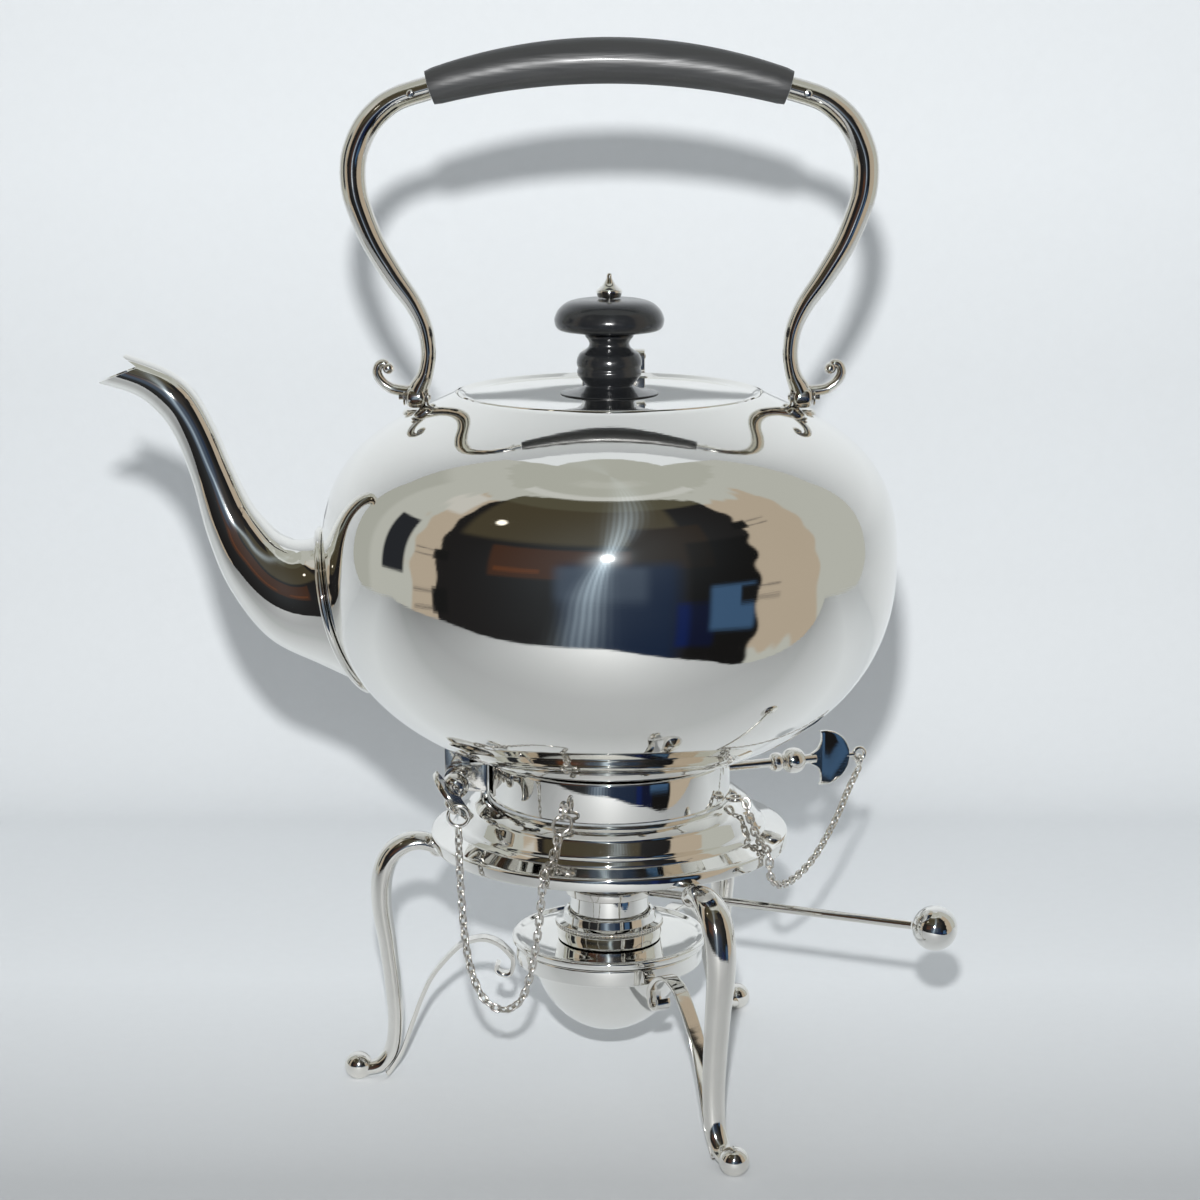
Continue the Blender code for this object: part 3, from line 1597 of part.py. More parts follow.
def chain(name, start, route, end):
    """A chain of fine links, turned a quarter from one link to the next, as one solid strand."""
    fine = [Vector(point) for point in smooth_through([start, *route, end], 24)]
    points = evenly(fine, CHAIN_PITCH / 2)
    side = Vector((0, 1, 0))
    rings = []
    for index, point in enumerate(points):
        before = points[max(index - 1, 0)]
        after = points[min(index + 1, len(points) - 1)]
        run = (after - before).normalized()
        side = (side - run * side.dot(run)).normalized()
        other = run.cross(side)
        if index % 2 == 0:
            wide = thin = CHAIN_WAIST
        else:
            wide, thin = CHAIN_WIDE, CHAIN_THIN
        if index % 4 == 3:
            wide, thin = thin, wide
        rings.append(
            [
                point + side * u * wide + other * v * thin
                for u, v in circle(1, 4, start=math.pi / 4)
            ]
        )
    return loft(name, rings, SILVER)


def centre_on_footprint(root):
    """Move the whole so that the middle of its box is over the origin."""
    bpy.context.view_layer.update()
    graph = bpy.context.evaluated_depsgraph_get()
    corners = []
    for obj in PARTS.objects:
        if obj.type == "MESH":
            ready = obj.evaluated_get(graph)
            corners += [ready.matrix_world @ Vector(corner) for corner in ready.bound_box]
    for axis in (0, 1):
        places = [corner[axis] for corner in corners]
        root.location[axis] = -(min(places) + max(places)) / 2
    bpy.context.view_layer.update()


def build_stand(carrier):
    carry(carrier, collar(), skirt(), cradle(), hinge_bracket())
    for name, azimuth in LEG_AZIMUTHS.items():
        carry(carrier, leg("leg_" + name, azimuth), strap("strap_" + name, azimuth))
    carry(
        carrier,
        chain_lug("front_chain_lug", FRONT_CHAIN_LUG_AZIMUTH, front_lug_z(), True),
        chain_lug("side_chain_lug", SIDE_CHAIN_LUG_AZIMUTH, side_lug_z(), False),
    )


def build_kettle(carrier):
    envelope = body_envelope(GAP)
    leaf, base, pin = lid_hinge(envelope)
    pieces = [kettle_body(), foot_ring(envelope), kettle_hinge_lug(envelope)]
    pieces += [spout(envelope), spout_bead(), base, pin]
    for name, sign in (("left", -1), ("right", 1)):
        pieces.append(handle_lug("handle_lug_" + name, sign, envelope))
        pieces.append(handle_pivot("handle_pivot_" + name, sign))
    carry(carrier, *pieces)
    lid_axis = pivot("lid_axis", (0, LID_HINGE_Y, LID_HINGE_Z), carrier)
    carry(lid_axis, lid(), leaf, *knob())
    handle_axis = pivot("handle_axis", (0, 0, HANDLE_PIVOT_Z), carrier)
    carry(handle_axis, grip())
    for name, sign in (("left", -1), ("right", 1)):
        carry(handle_axis, handle_arm("handle_arm_" + name, sign))
        carry(handle_axis, grip_rivet("grip_rivet_" + name, sign))


def build_lamp(carrier):
    lamp_axis = pivot("lamp_axis", (0, 0, LAMP_SEAT_Z), carrier)
    wick_bore = WICK_RADIUS + BORE_GAP
    sleeve_bore = WICK_TUBE_RADIUS + BORE_GAP
    carry(
        lamp_axis,
        lamp_bowl(),
        lamp_top(),
        burner_collar(),
        tube("wick_tube", wick_bore, WICK_TUBE_RADIUS, WICK_TUBE_BASE_Z, WICK_TUBE_TOP_Z, 28, SILVER),
        wick(),
    )
    regulator_axis = pivot("regulator_axis", (0, 0, REGULATOR_Z), lamp_axis)
    carry(regulator_axis, *regulator())
    sleeve_axis = pivot("sleeve_axis", (0, 0, SLEEVE_BASE_Z), lamp_axis)
    sleeve = tube(
        "flame_sleeve", sleeve_bore, SLEEVE_RADIUS, SLEEVE_BASE_Z, SLEEVE_TOP_Z, ROUND_STEPS, SILVER
    )
    carry(sleeve_axis, sleeve)


def build_pins(carrier):
    ear_face = TILT_LUG_HALF_WIDTH + GAP + TILT_EAR_WIDTH
    seat = Vector((TILT_X, -ear_face - GAP, TILT_Z))
    hinge_axis = pivot("hinge_pin_axis", seat, carrier)
    outward = along((0, -1, 0), seat)
    tail = 2 * ear_face + GAP + TILT_PIN_TAIL
    pin, rolled = draw_pin("hinge_pin", tail, outward, math.radians(HINGE_BLADE_SLANT))
    ring, start = jump_ring("hinge_pin_ring", rolled, JUMP_RING_RADIUS)
    end = chain_lug_centre(FRONT_CHAIN_LUG_AZIMUTH, front_lug_z())
    end -= Vector((0, 0, chain_clear()))
    carry(hinge_axis, pin, ring, chain("chain_left", start, LEFT_CHAIN_ROUTE, end))
    lock_seat = polar(LOCK_PIN_SEAT_RADIUS, LOCK_PIN_AZIMUTH, LOCK_PIN_Z)
    lock_axis = pivot("lock_pin_axis", lock_seat, carrier)
    outward = along(polar(1, LOCK_PIN_AZIMUTH, 0), lock_seat)
    tail = LOCK_PIN_SEAT_RADIUS - LOCK_PIN_TIP_RADIUS
    pin, rolled = draw_pin("lock_pin", tail, outward, math.pi / 2)
    ring, end = jump_ring("lock_pin_ring", rolled, LOCK_RING_RADIUS)
    start = chain_lug_centre(SIDE_CHAIN_LUG_AZIMUTH, side_lug_z())
    start += polar(chain_clear(), SIDE_CHAIN_LUG_AZIMUTH, 0)
    carry(lock_axis, pin, ring, chain("chain_right", start, RIGHT_CHAIN_ROUTE, end))


def build():
    stand_axis = pivot("stand_axis", (0, 0, 0))
    build_stand(stand_axis)
    kettle_axis = pivot("kettle_tilt_axis", (TILT_X, 0, TILT_Z), stand_axis)
    build_kettle(kettle_axis)
    build_lamp(stand_axis)
    build_pins(stand_axis)
    centre_on_footprint(stand_axis)


build()
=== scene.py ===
from math import acos, asin, copysign, cos, exp, hypot, pi, radians, sin, tau
import bmesh
import bpy
from mathutils import Matrix, Vector


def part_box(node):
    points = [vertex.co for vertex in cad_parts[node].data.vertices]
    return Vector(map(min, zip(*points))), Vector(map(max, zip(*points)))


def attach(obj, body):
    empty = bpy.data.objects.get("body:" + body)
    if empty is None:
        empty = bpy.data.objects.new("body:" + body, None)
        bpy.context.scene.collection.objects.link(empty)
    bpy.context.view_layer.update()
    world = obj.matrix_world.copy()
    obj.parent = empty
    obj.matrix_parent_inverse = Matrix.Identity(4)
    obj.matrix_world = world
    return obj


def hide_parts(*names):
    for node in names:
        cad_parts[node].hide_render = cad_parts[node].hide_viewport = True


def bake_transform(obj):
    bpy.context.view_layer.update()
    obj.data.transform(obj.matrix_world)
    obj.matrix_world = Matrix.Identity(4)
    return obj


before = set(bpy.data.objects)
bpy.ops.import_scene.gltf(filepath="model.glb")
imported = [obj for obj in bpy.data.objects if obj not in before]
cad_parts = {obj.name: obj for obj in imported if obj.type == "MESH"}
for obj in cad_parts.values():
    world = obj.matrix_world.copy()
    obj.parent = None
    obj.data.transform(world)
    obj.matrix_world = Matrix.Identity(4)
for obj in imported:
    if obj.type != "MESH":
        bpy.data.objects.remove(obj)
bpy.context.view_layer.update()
print("frame loaded:", len(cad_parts), "nodes")

scene = bpy.context.scene
scene.view_settings.view_transform = "Standard"
standX = sum(corner.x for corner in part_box("lamp_bowl")) / 2  # everything is drawn about the stand's axis
axisPlace = Matrix.Translation((standX, 0, 0))


def placed(name, data):
    obj = bpy.data.objects.new(name, data)
    scene.collection.objects.link(obj)
    return obj


# camera, as the photo was taken: a little above, looking slightly down

view = dict(distance=0.837, height=0.337, pitch=11.83, lens=81, shift=-0.00775)

cameraData = bpy.data.cameras.new("photoCamera")
cameraData.lens = view["lens"]
cameraData.sensor_width = 36
cameraData.shift_x = view["shift"]
camera = placed("photoCamera", cameraData)
camera.location = (standX, -view["distance"], view["height"])
camera.rotation_euler = (radians(90 - view["pitch"]), 0, 0)
scene.camera = camera


# shader helpers

def feedAll(tree, sockets, feeds):
    # link what is a socket or a node, and set what is a plain value
    for label, value in feeds.items():
        if isinstance(value, bpy.types.Node):
            value = value.outputs[0]
        if isinstance(value, bpy.types.NodeSocket):
            tree.links.new(value, sockets[label])
        else:
            sockets[label].default_value = value


def addNode(tree, kind, feeds=None, **settings):
    node = tree.nodes.new("ShaderNode" + kind)
    for key, value in settings.items():
        setattr(node, key, value)
    feedAll(tree, node.inputs, feeds or {})
    return node


def newGroup(name, inputs, outputs):
    group = bpy.data.node_groups.new(name, "ShaderNodeTree")
    for label, value in inputs.items():
        group.interface.new_socket(label, in_out="INPUT", socket_type="NodeSocketFloat").default_value = value
    for label in outputs:
        group.interface.new_socket(label, in_out="OUTPUT", socket_type="NodeSocketFloat")
    return group, group.nodes.new("NodeGroupInput").outputs, group.nodes.new("NodeGroupOutput").inputs


def blankMaterial(name):
    material = bpy.data.materials.new(name)
    material.use_nodes = True
    tree = material.node_tree
    return material, tree, tree.nodes["Principled BSDF"]


def twoTones(tree, mask, first, second):
    return addNode(tree, "Mix", {0: mask, 6: (*first, 1), 7: (*second, 1)}, data_type="RGBA").outputs[2]


# polish: hand smudges, fine wiping lines round the piece and a slight wave in the metal

groupOutputs = ("Roughness", "Height", "Tone")
polish, polishIn, polishOut = newGroup(
    "polishMarks",
    {"Smudge Scale": 30, "Line Scale": 900, "Low": 0.04, "High": 0.1, "Line Share": 0.5, "Wave Share": 0.5},
    groupOutputs,
)
place = addNode(polish, "TexCoord").outputs["Object"]
smudge = addNode(polish, "TexNoise", {"Vector": place, "Scale": polishIn["Smudge Scale"], "Detail": 4})
spread = addNode(polish, "MapRange", {
    "Value": smudge, "From Min": 0.35, "From Max": 0.7, "To Min": polishIn["Low"], "To Max": polishIn["High"],
})
ringPlace = addNode(polish, "Mapping", {"Vector": place, "Scale": (0.05, 0.05, 1)}, vector_type="POINT")
lines = addNode(polish, "TexNoise", {"Vector": ringPlace, "Scale": polishIn["Line Scale"], "Detail": 3})
wave = addNode(polish, "TexNoise", {"Vector": place, "Scale": 14, "Detail": 1})
lineHeight = addNode(polish, "Math", {0: lines, 1: polishIn["Line Share"]}, operation="MULTIPLY")
waveHeight = addNode(polish, "Math", {0: wave, 1: polishIn["Wave Share"]}, operation="MULTIPLY")
height = addNode(polish, "Math", {0: lineHeight, 1: waveHeight}, operation="ADD")
feedAll(polish, polishOut, {"Roughness": spread, "Height": height, "Tone": smudge})

# wood: pores drawn out along one way, and a slow change of tone

grain, grainIn, grainOut = newGroup(
    "woodPores", {"Pore Scale": 500, "Along": 0.1, "Low": 0.3, "High": 0.5}, groupOutputs
)
place = addNode(grain, "TexCoord").outputs["Object"]
longWay = addNode(grain, "CombineXYZ", {"X": grainIn["Along"], "Y": 1, "Z": 1})
drawnOut = addNode(grain, "VectorMath", {0: place, 1: longWay}, operation="MULTIPLY")
pores = addNode(grain, "TexNoise", {"Vector": drawnOut, "Scale": grainIn["Pore Scale"], "Detail": 5})
patches = addNode(grain, "TexNoise", {"Vector": drawnOut, "Scale": 60, "Detail": 2})
roughSpread = addNode(grain, "MapRange", {
    "Value": pores, "From Min": 0.3, "From Max": 0.7, "To Min": grainIn["Low"], "To Max": grainIn["High"],
})
feedAll(grain, grainOut, {"Roughness": roughSpread, "Height": pores, "Tone": patches})


def newFinish(name, group, tones, marks, bumpStrength, bumpDistance, extra):
    material, tree, shader = blankMaterial(name)
    found = addNode(tree, "Group", marks, node_tree=group).outputs
    bump = addNode(tree, "Bump", {"Strength": bumpStrength, "Distance": bumpDistance, "Height": found["Height"]})
    feedAll(tree, shader.inputs, {
        "Base Color": twoTones(tree, found["Tone"], *tones), "Roughness": found["Roughness"], "Normal": bump, **extra,
    })
    return material


def silverMarks(*values):
    return dict(zip(("Smudge Scale", "Line Scale", "Low", "High", "Line Share", "Wave Share"), values))


brightSilver = newFinish(
    "brightSilver", polish, ((0.93, 0.92, 0.89), (0.87, 0.86, 0.82)),
    silverMarks(25, 2500, 0.02, 0.055, 0.15, 1), 0.12, 0.0002, {"Metallic": 1},
)
castSilver = newFinish(
    "castSilver", polish, ((0.9, 0.88, 0.84), (0.82, 0.8, 0.75)),
    silverMarks(90, 4000, 0.04, 0.12, 0.3, 2), 0.15, 0.0002, {"Metallic": 1},
)
chainSilver = newFinish(
    "chainSilver", polish, ((0.8, 0.78, 0.74), (0.55, 0.53, 0.49)),
    silverMarks(400, 4000, 0.12, 0.28, 0.5, 0.2), 0.2, 0.0002, {"Metallic": 1},
)
gripWood = newFinish(
    "gripWood", grain, ((0.02, 0.021, 0.022), (0.036, 0.037, 0.038)),
    {"Pore Scale": 900, "Along": 0.08, "Low": 0.34, "High": 0.5}, 0.35, 0.0003,
    {"Coat Weight": 0.08, "Coat Roughness": 0.15},
)
knobWood = newFinish(
    "knobWood", grain, ((0.008, 0.009, 0.01), (0.015, 0.016, 0.018)),
    {"Pore Scale": 700, "Along": 1, "Low": 0.14, "High": 0.26}, 0.1, 0.0003,
    {"Coat Weight": 0.35, "Coat Roughness": 0.15},
)
cotton, cottonTree, cottonShader = blankMaterial("wickCotton")
threads = addNode(cottonTree, "TexWave", {
    "Vector": addNode(cottonTree, "TexCoord").outputs["Object"], "Scale": 900, "Distortion": 3, "Detail": 2,
}, bands_direction="DIAGONAL").outputs[1]
feedAll(cottonTree, cottonShader.inputs, {
    "Base Color": twoTones(cottonTree, threads, (0.62, 0.58, 0.5), (0.86, 0.83, 0.76)), "Roughness": 0.95,
    "Normal": addNode(cottonTree, "Bump", {"Strength": 0.8, "Distance": 0.0003, "Height": threads}),
})

print("finishes made")


# mesh helpers

def smoothCurve(points, perSpan):
    # a smooth line through every point given
    last = len(points) - 1
    found = []
    for index in range(last):
        near = [points[max(index - 1, 0)], points[index], points[index + 1], points[min(index + 2, last)]]
        for step in range(perSpan):
            t = step / perSpan
            found.append(tuple(
                (2 * b + (c - a) * t + (2 * a - 5 * b + 4 * c - d) * t * t + (3 * b - a - 3 * c + d) * t**3) / 2
                for a, b, c, d in zip(*near)
            ))
    found.append(tuple(points[last]))
    return found


def softenCorners(points, radius, closed=False, steps=4):
    # small rounds at the corners of a turned outline
    count = len(points)
    found = []
    for index, point in enumerate(points):
        here = Vector(point)
        before = Vector(points[index - 1]) - here
        after = Vector(points[(index + 1) % count]) - here
        atEnd = not closed and index in (0, count - 1)
        if atEnd or before.length < 1e-7 or after.length < 1e-7 or before.angle(after) > radians(165):
            found.append(point)
            continue
        cut = min(radius, before.length * 0.45, after.length * 0.45)
        start = here + before.normalized() * cut
        end = here + after.normalized() * cut
        for step in range(steps + 1):
            t = step / steps
            found.append(tuple(start * (1 - t) ** 2 + here * 2 * t * (1 - t) + end * t * t))
    return found


def meshFrom(name, shape, sharp=32, outward=True):
    if outward:
        bmesh.ops.recalc_face_normals(shape, faces=shape.faces)
    mesh = bpy.data.meshes.new(name)
    shape.to_mesh(mesh)
    shape.free()
    mesh.shade_smooth()
    mesh.set_sharp_from_angle(angle=radians(sharp))
    return mesh


def bridge(shape, rows, joined=False, around=True):
    # faces between neighbouring rows of vertices
    pairs = list(zip(rows, rows[1:])) + ([(rows[-1], rows[0])] if joined else [])
    for lower, upper in pairs:
        for index in range(len(lower) if around else len(lower) - 1):
            after = (index + 1) % len(lower)
            corners = list(dict.fromkeys((lower[index], lower[after], upper[after], upper[index])))
            if len(corners) > 2:
                shape.faces.new(corners)


def latheInto(shape, profile, steps, closed=False, place=None, milled=None):
    # turn a (radius, height) outline about Z
    rows = []
    for radius, height in profile:
        if radius < 1e-7:
            rows.append([shape.verts.new((0, 0, height))] * steps)
            continue
        ring = []
        for index in range(steps):
            angle = tau * index / steps
            out = radius
            if milled and milled["low"] < height < milled["high"] and radius > milled["inside"]:
                out -= milled["depth"] * (0.5 + 0.5 * cos(milled["teeth"] * angle))
            ring.append(shape.verts.new((out * cos(angle), out * sin(angle), height)))
        rows.append(ring)
    bridge(shape, rows, closed)
    if place:
        bmesh.ops.transform(shape, matrix=place, verts=list({vert for row in rows for vert in row}))


def loftInto(shape, rings, capped=True, joined=False):
    rows = [[shape.verts.new(point) for point in ring] for ring in rings]
    bridge(shape, rows, joined)
    if capped and not joined:
        shape.faces.new(rows[0][::-1])
        shape.faces.new(rows[-1])


def circle(radius, sides, centre=(0, 0), start=0, sweep=tau):
    last = sides if abs(sweep) >= tau else sides - 1
    return [
        (centre[0] + radius * cos(start + sweep * i / last), centre[1] + radius * sin(start + sweep * i / last))
        for i in range(sides)
    ]


def ballInto(shape, centre, radius, steps=32):
    profile = [(radius * cos(a), radius * sin(a)) for a in (pi * (0.5 - i / steps) for i in range(1, steps))]
    latheInto(shape, [(0, radius), *profile, (0, -radius)], steps, place=Matrix.Translation(centre))


def wireInto(shape, radius, wire, place, steps=48, sides=14):
    latheInto(shape, [(radius + u, v) for u, v in circle(wire, sides)], steps, closed=True, place=place)


def along(direction, origin):
    return Matrix.Translation(origin) @ Vector(direction).to_track_quat("Z", "Y").to_matrix().to_4x4()


def polar(radius, azimuth, height):
    return Vector((radius * cos(radians(azimuth)), radius * sin(radians(azimuth)), height))


def barRings(stations, section, azimuth=0):
    # sections square to a path in the upright plane at this azimuth; a station is (out, up, thickness, width)
    turn = Matrix.Rotation(radians(azimuth), 4, "Z")
    last = len(stations) - 1
    rings = []
    for index, (out, up, thickness, width) in enumerate(stations):
        before, after = stations[max(index - 1, 0)], stations[min(index + 1, last)]
        run = Vector((after[0] - before[0], after[1] - before[1])).normalized()
        rings.append([
            turn @ Vector((out - run.y * across * thickness, side * width, up + run.x * across * thickness))
            for across, side in section
        ])
    return rings


def tubeInto(shape, path, radius, sides=16):
    # a round bar along a path of points
    rings = []
    side = Vector((0, 1, 0))
    for index, point in enumerate(path):
        run = (Vector(path[min(index + 1, len(path) - 1)]) - Vector(path[max(index - 1, 0)])).normalized()
        side = (side - run * side.dot(run)).normalized()
        other = run.cross(side)
        rings.append([Vector(point) + (side * u + other * v) for u, v in circle(radius, sides)])
    loftInto(shape, rings)


def nodeName(name):
    # a piece called lampBowl stands for the node lamp_bowl
    return "".join("_" + letter.lower() if letter.isupper() else letter for letter in name)


def addPiece(name, shape, finish, body, node=None, sharp=32, place=axisPlace):
    obj = placed(name, meshFrom(name, shape, sharp))
    obj.matrix_world = place
    obj.data.materials.append(finish)
    if body:
        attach(obj, body)
    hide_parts(node or nodeName(name))
    return obj


def turnedPiece(name, profile, finish, body, node=None, steps=128, ease=0.0003, closed=True, milled=None):
    shape = bmesh.new()
    latheInto(shape, softenCorners(profile, ease, closed), steps, closed, milled=milled)
    return addPiece(name, shape, finish, body, node)


def bored(line, bore):
    # a turned outline with a straight hole through it
    return [(bore, line[0][1]), *line, (bore, line[-1][1])]


def scaled(table, reach, tall, base, start=0):
    # an outline given as shares of a reach and a height
    return [(start + out * reach, base + up * tall) for out, up in table]


def tubePiece(name, inner, outer, low, high, finish, body, steps=128, ease=0.0003):
    profile = [(inner, high), (outer, high), (outer, low), (inner, low)]
    return turnedPiece(name, profile, finish, body, None, steps, ease)


def loftPiece(name, rings, finish, body, node=None, **options):
    shape = bmesh.new()
    loftInto(shape, rings, **options)
    return addPiece(name, shape, finish, body, node)


def mirroredPiece(name, side, shape, body):
    if side == "left":
        bmesh.ops.scale(shape, vec=(-1, 1, 1), verts=shape.verts)
    addPiece(name + side.capitalize(), shape, castSilver, body)


def cutWith(obj, *shapes):
    cutters = []
    for shape in shapes:
        cutter = placed("cutter", meshFrom("cutter", shape))
        cutter.matrix_world = axisPlace
        cutters.append(cutter)
        step = obj.modifiers.new("cut", "BOOLEAN")
        step.operation = "DIFFERENCE"
        step.solver = "EXACT"
        step.object = cutter
    made = bpy.data.meshes.new_from_object(obj.evaluated_get(bpy.context.evaluated_depsgraph_get()))
    obj.modifiers.clear()
    obj.data = made
    made.shade_smooth()
    made.set_sharp_from_angle(angle=radians(32))
    for cutter in cutters:
        bpy.data.objects.remove(cutter)


def inMillimetres(table):
    return [tuple(value / 1000 for value in row) for row in table]


# kettle body: two squared-off half ovals

kettle = dict(
    radius=0.0904, middle=0.176, upper=0.0542, lower=0.068, upperFullness=2.6, lowerFullness=2.25,
    wall=0.0013, neck=0.044, seatWidth=0.0028, seatRise=0.0005, lipInner=0.0477, lipOuter=0.07,
    lipRise=0.0014, lipRound=0.0005, footRadius=0.033, footWall=0.0015, footBase=0.0985, footTop=0.1155,
)


def bodyHalf(rise, grow):
    # height and fullness of the half above or below the widest line
    half = "upper" if rise >= 0 else "lower"
    return kettle[half] + grow, kettle[half + "Fullness"]


def bodyPoint(angle, grow=0):
    tall, fullness = bodyHalf(angle, grow)
    radius = (kettle["radius"] + grow) * abs(cos(angle)) ** (2 / fullness)
    rise = tall * abs(sin(angle)) ** (2 / fullness)
    return radius, kettle["middle"] + copysign(rise, angle)


def bodyAngle(radius, grow=0):
    return acos((radius / (kettle["radius"] + grow)) ** (kettle["upperFullness"] / 2))


def bodyLine(top, grow=0, steps=44):
    # from an angle on the shoulder down to the axis, closer together near the widest line
    upper = [top * (1 - i / steps) ** 1.4 for i in range(steps)]
    lower = [-pi / 2 * (i / steps) ** 1.4 for i in range(steps)]
    points = [bodyPoint(angle, grow) for angle in upper + lower]
    return points + [(0, kettle["middle"] - kettle["lower"] - grow)]


def overBody(radius):
    return bodyPoint(bodyAngle(radius))[1]


seatOuter = kettle["neck"] + kettle["seatWidth"]
seatZ = overBody(seatOuter) + kettle["seatRise"]
bodyOuter = bodyLine(bodyAngle(kettle["lipOuter"]))
bodyInner = bodyLine(bodyAngle(kettle["neck"], -kettle["wall"]), -kettle["wall"])
lipZ = seatZ + kettle["lipRise"]
lipTop = kettle["lipInner"] + kettle["lipRound"]
lipLine = []  # a low swell that the lid's rim lies in
for index in range(12):
    share = index / 12
    radius = lipTop + (kettle["lipOuter"] - lipTop) * share
    lipLine.append((radius, overBody(radius) + (lipZ - overBody(lipTop)) * (1 - share) ** 2))
seatLine = [
    bodyInner[0], (kettle["neck"], seatZ), (kettle["lipInner"], seatZ), (kettle["lipInner"] + 0.0001, lipZ)
]
shape = bmesh.new()
latheInto(shape, bodyInner[:0:-1] + softenCorners(seatLine, 0.0003) + lipLine + bodyOuter, 192)
addPiece("kettleBody", shape, brightSilver, "kettle")

footRing = tubePiece(
    "kettleFootRing", kettle["footRadius"] - kettle["footWall"], kettle["footRadius"],
    kettle["footBase"], kettle["footTop"], brightSilver, "kettle",
)
print("body turned")


# spout: ovals between an upper and a lower line, as shares of reach and rise

spout = dict(
    reach=0.0686, rise=0.0638, wall=0.0012, bead=0.0012,
    upper=((-0.1, 0.172), (0.067, 0.0815), (0.176, 0.099), (0.257, 0.176), (0.328, 0.279), (0.41, 0.469),
        (0.481, 0.657), (0.573, 0.829), (0.694, 0.929), (0.872, 1)),
    lower=((-0.4, -0.752), (-0.006, -0.556), (0.249, -0.415), (0.424, -0.172), (0.522, 0.089), (0.59, 0.384),
        (0.665, 0.603), (0.745, 0.726), (0.847, 0.807), (1, 0.857)),
    width=(0.8, 0.85, 0.88, 0.92, 0.96, 1, 1, 1, 1, 1),
    notch=(0.81, 0.942), notchEdges=((0.992, 0.868), (0.866, 0.982)),
)


def spoutPlace(share):
    return Vector((-kettle["radius"] - spout["reach"] * share[0], 0, kettle["middle"] + spout["rise"] * share[1]))


def spoutRings(grow=0, sides=56):
    stations = [u + l + (w,) for u, l, w in zip(spout["upper"], spout["lower"], spout["width"])]
    rings = []
    for station in smoothCurve(stations, 8):
        top, bottom = spoutPlace(station[0:2]), spoutPlace(station[2:4])
        half = (top - bottom).length / 2
        up = (top - bottom).normalized()
        across = half * station[4] + grow
        rings.append([
            (top + bottom) / 2 + up * (half + grow) * cos(a) + Vector((0, across * sin(a), 0))
            for a in (tau * i / sides for i in range(sides))
        ])
    return rings


def insideBody(point, grow):
    rise = point.z - kettle["middle"]
    tall, fullness = bodyHalf(rise, grow)
    return (hypot(point.x, point.y) / (kettle["radius"] + grow)) ** fullness + (abs(rise) / tall) ** fullness < 1


spoutPiece = loftPiece("spoutTube", spoutRings(), brightSilver, "kettle", "spout", capped=False)
wallStep = spoutPiece.modifiers.new("wall", "SOLIDIFY")
wallStep.thickness = spout["wall"]
wallStep.offset = -1
wallStep.use_even_offset = True
notchShape = bmesh.new()
notchLine = [spoutPlace(spout["notch"])] + [
    spoutPlace(tuple(t + 4 * (e - t) for t, e in zip(spout["notch"], edge))) for edge in spout["notchEdges"]
]
loftInto(notchShape, [[Vector((p.x, y, p.z)) for p in notchLine] for y in (-0.03, 0.03)])
insideShape = bmesh.new()
latheInto(insideShape, [(0, kettle["middle"] + kettle["upper"] - 0.0003)] + bodyLine(pi / 2 - 0.001, -0.0003, 40), 160)
cutWith(spoutPiece, notchShape, insideShape)

beadPath = []
for line in zip(*spoutRings(spout["bead"], 96)):
    for inner, beyond in zip(line, line[1:]):
        if insideBody(inner, spout["bead"]) and not insideBody(beyond, spout["bead"]):
            break
    for step in range(20):
        middle = (inner + beyond) / 2
        inner, beyond = (middle, beyond) if insideBody(middle, spout["bead"]) else (inner, middle)
    beadPath.append(inner)
beadCentre = sum(beadPath, Vector()) / len(beadPath)
beadRings = []
for index, point in enumerate(beadPath):
    run = (beadPath[(index + 1) % len(beadPath)] - beadPath[index - 1]).normalized()
    out = point - beadCentre
    out = (out - run * out.dot(run)).normalized()
    beadRings.append([point + out * u + run.cross(out) * v for u, v in circle(spout["bead"], 12)])
loftPiece("spoutBead", beadRings, brightSilver, "kettle", joined=True)
print("spout raised")


# lid and knob

lid = dict(
    overhang=0.0005, thickness=0.0016, bezelDepth=0.005, bezelWall=0.001, bezelGap=0.0008,
    gap=0.0003, rod=0.0013, sunk=0.0011, dome=0.00035, under=0.0003, stemHeight=0.0172, capHeight=0.0107,
    finialHeight=0.0075, finialTail=0.0052,
    stem=inMillimetres(((7.6, 17.4), (7.6, 16.4), (6.8, 15.6), (6.1, 14.3), (6.5, 13.1), (8, 11.9),
        (9.2, 11.3), (10.1, 9.5), (10.2, 7.8), (9.7, 6.6), (10.1, 5.8), (10, 4.5),
        (8.3, 2.4), (7, 1.2), (10.4, -0.2), (15.2, -1), (15.4, -1.3))),
    cap=inMillimetres(((4.4, 10.7), (9, 10.5), (13, 9.5), (15.7, 7.4), (16.9, 5), (17, 3.4),
        (16.4, 1.7), (14.8, 0.8), (11, 0.5), (7.8, 0.3))),
    finial=((0, 1), (0.0005, 0.985), (0.0008, 0.9), (0.0009, 0.78), (0.002, 0.53), (0.0032, 0.39), (0.004, 0.28),
        (0.0039, 0.15), (0.0035, 0)),
)
lidBase = seatZ + lid["gap"]
lidTop = lidBase + lid["thickness"]
lidRim = seatOuter + lid["overhang"]
lidFloor = lidTop - lid["sunk"] - lid["dome"]  # the plate lies below its rim and swells a little
bezel = kettle["neck"] - lid["bezelGap"]
bore = lid["rod"] + lid["gap"]
wallIn, bezelEnd, under = bezel - lid["bezelWall"], lidBase - lid["bezelDepth"], lidBase - lid["under"]
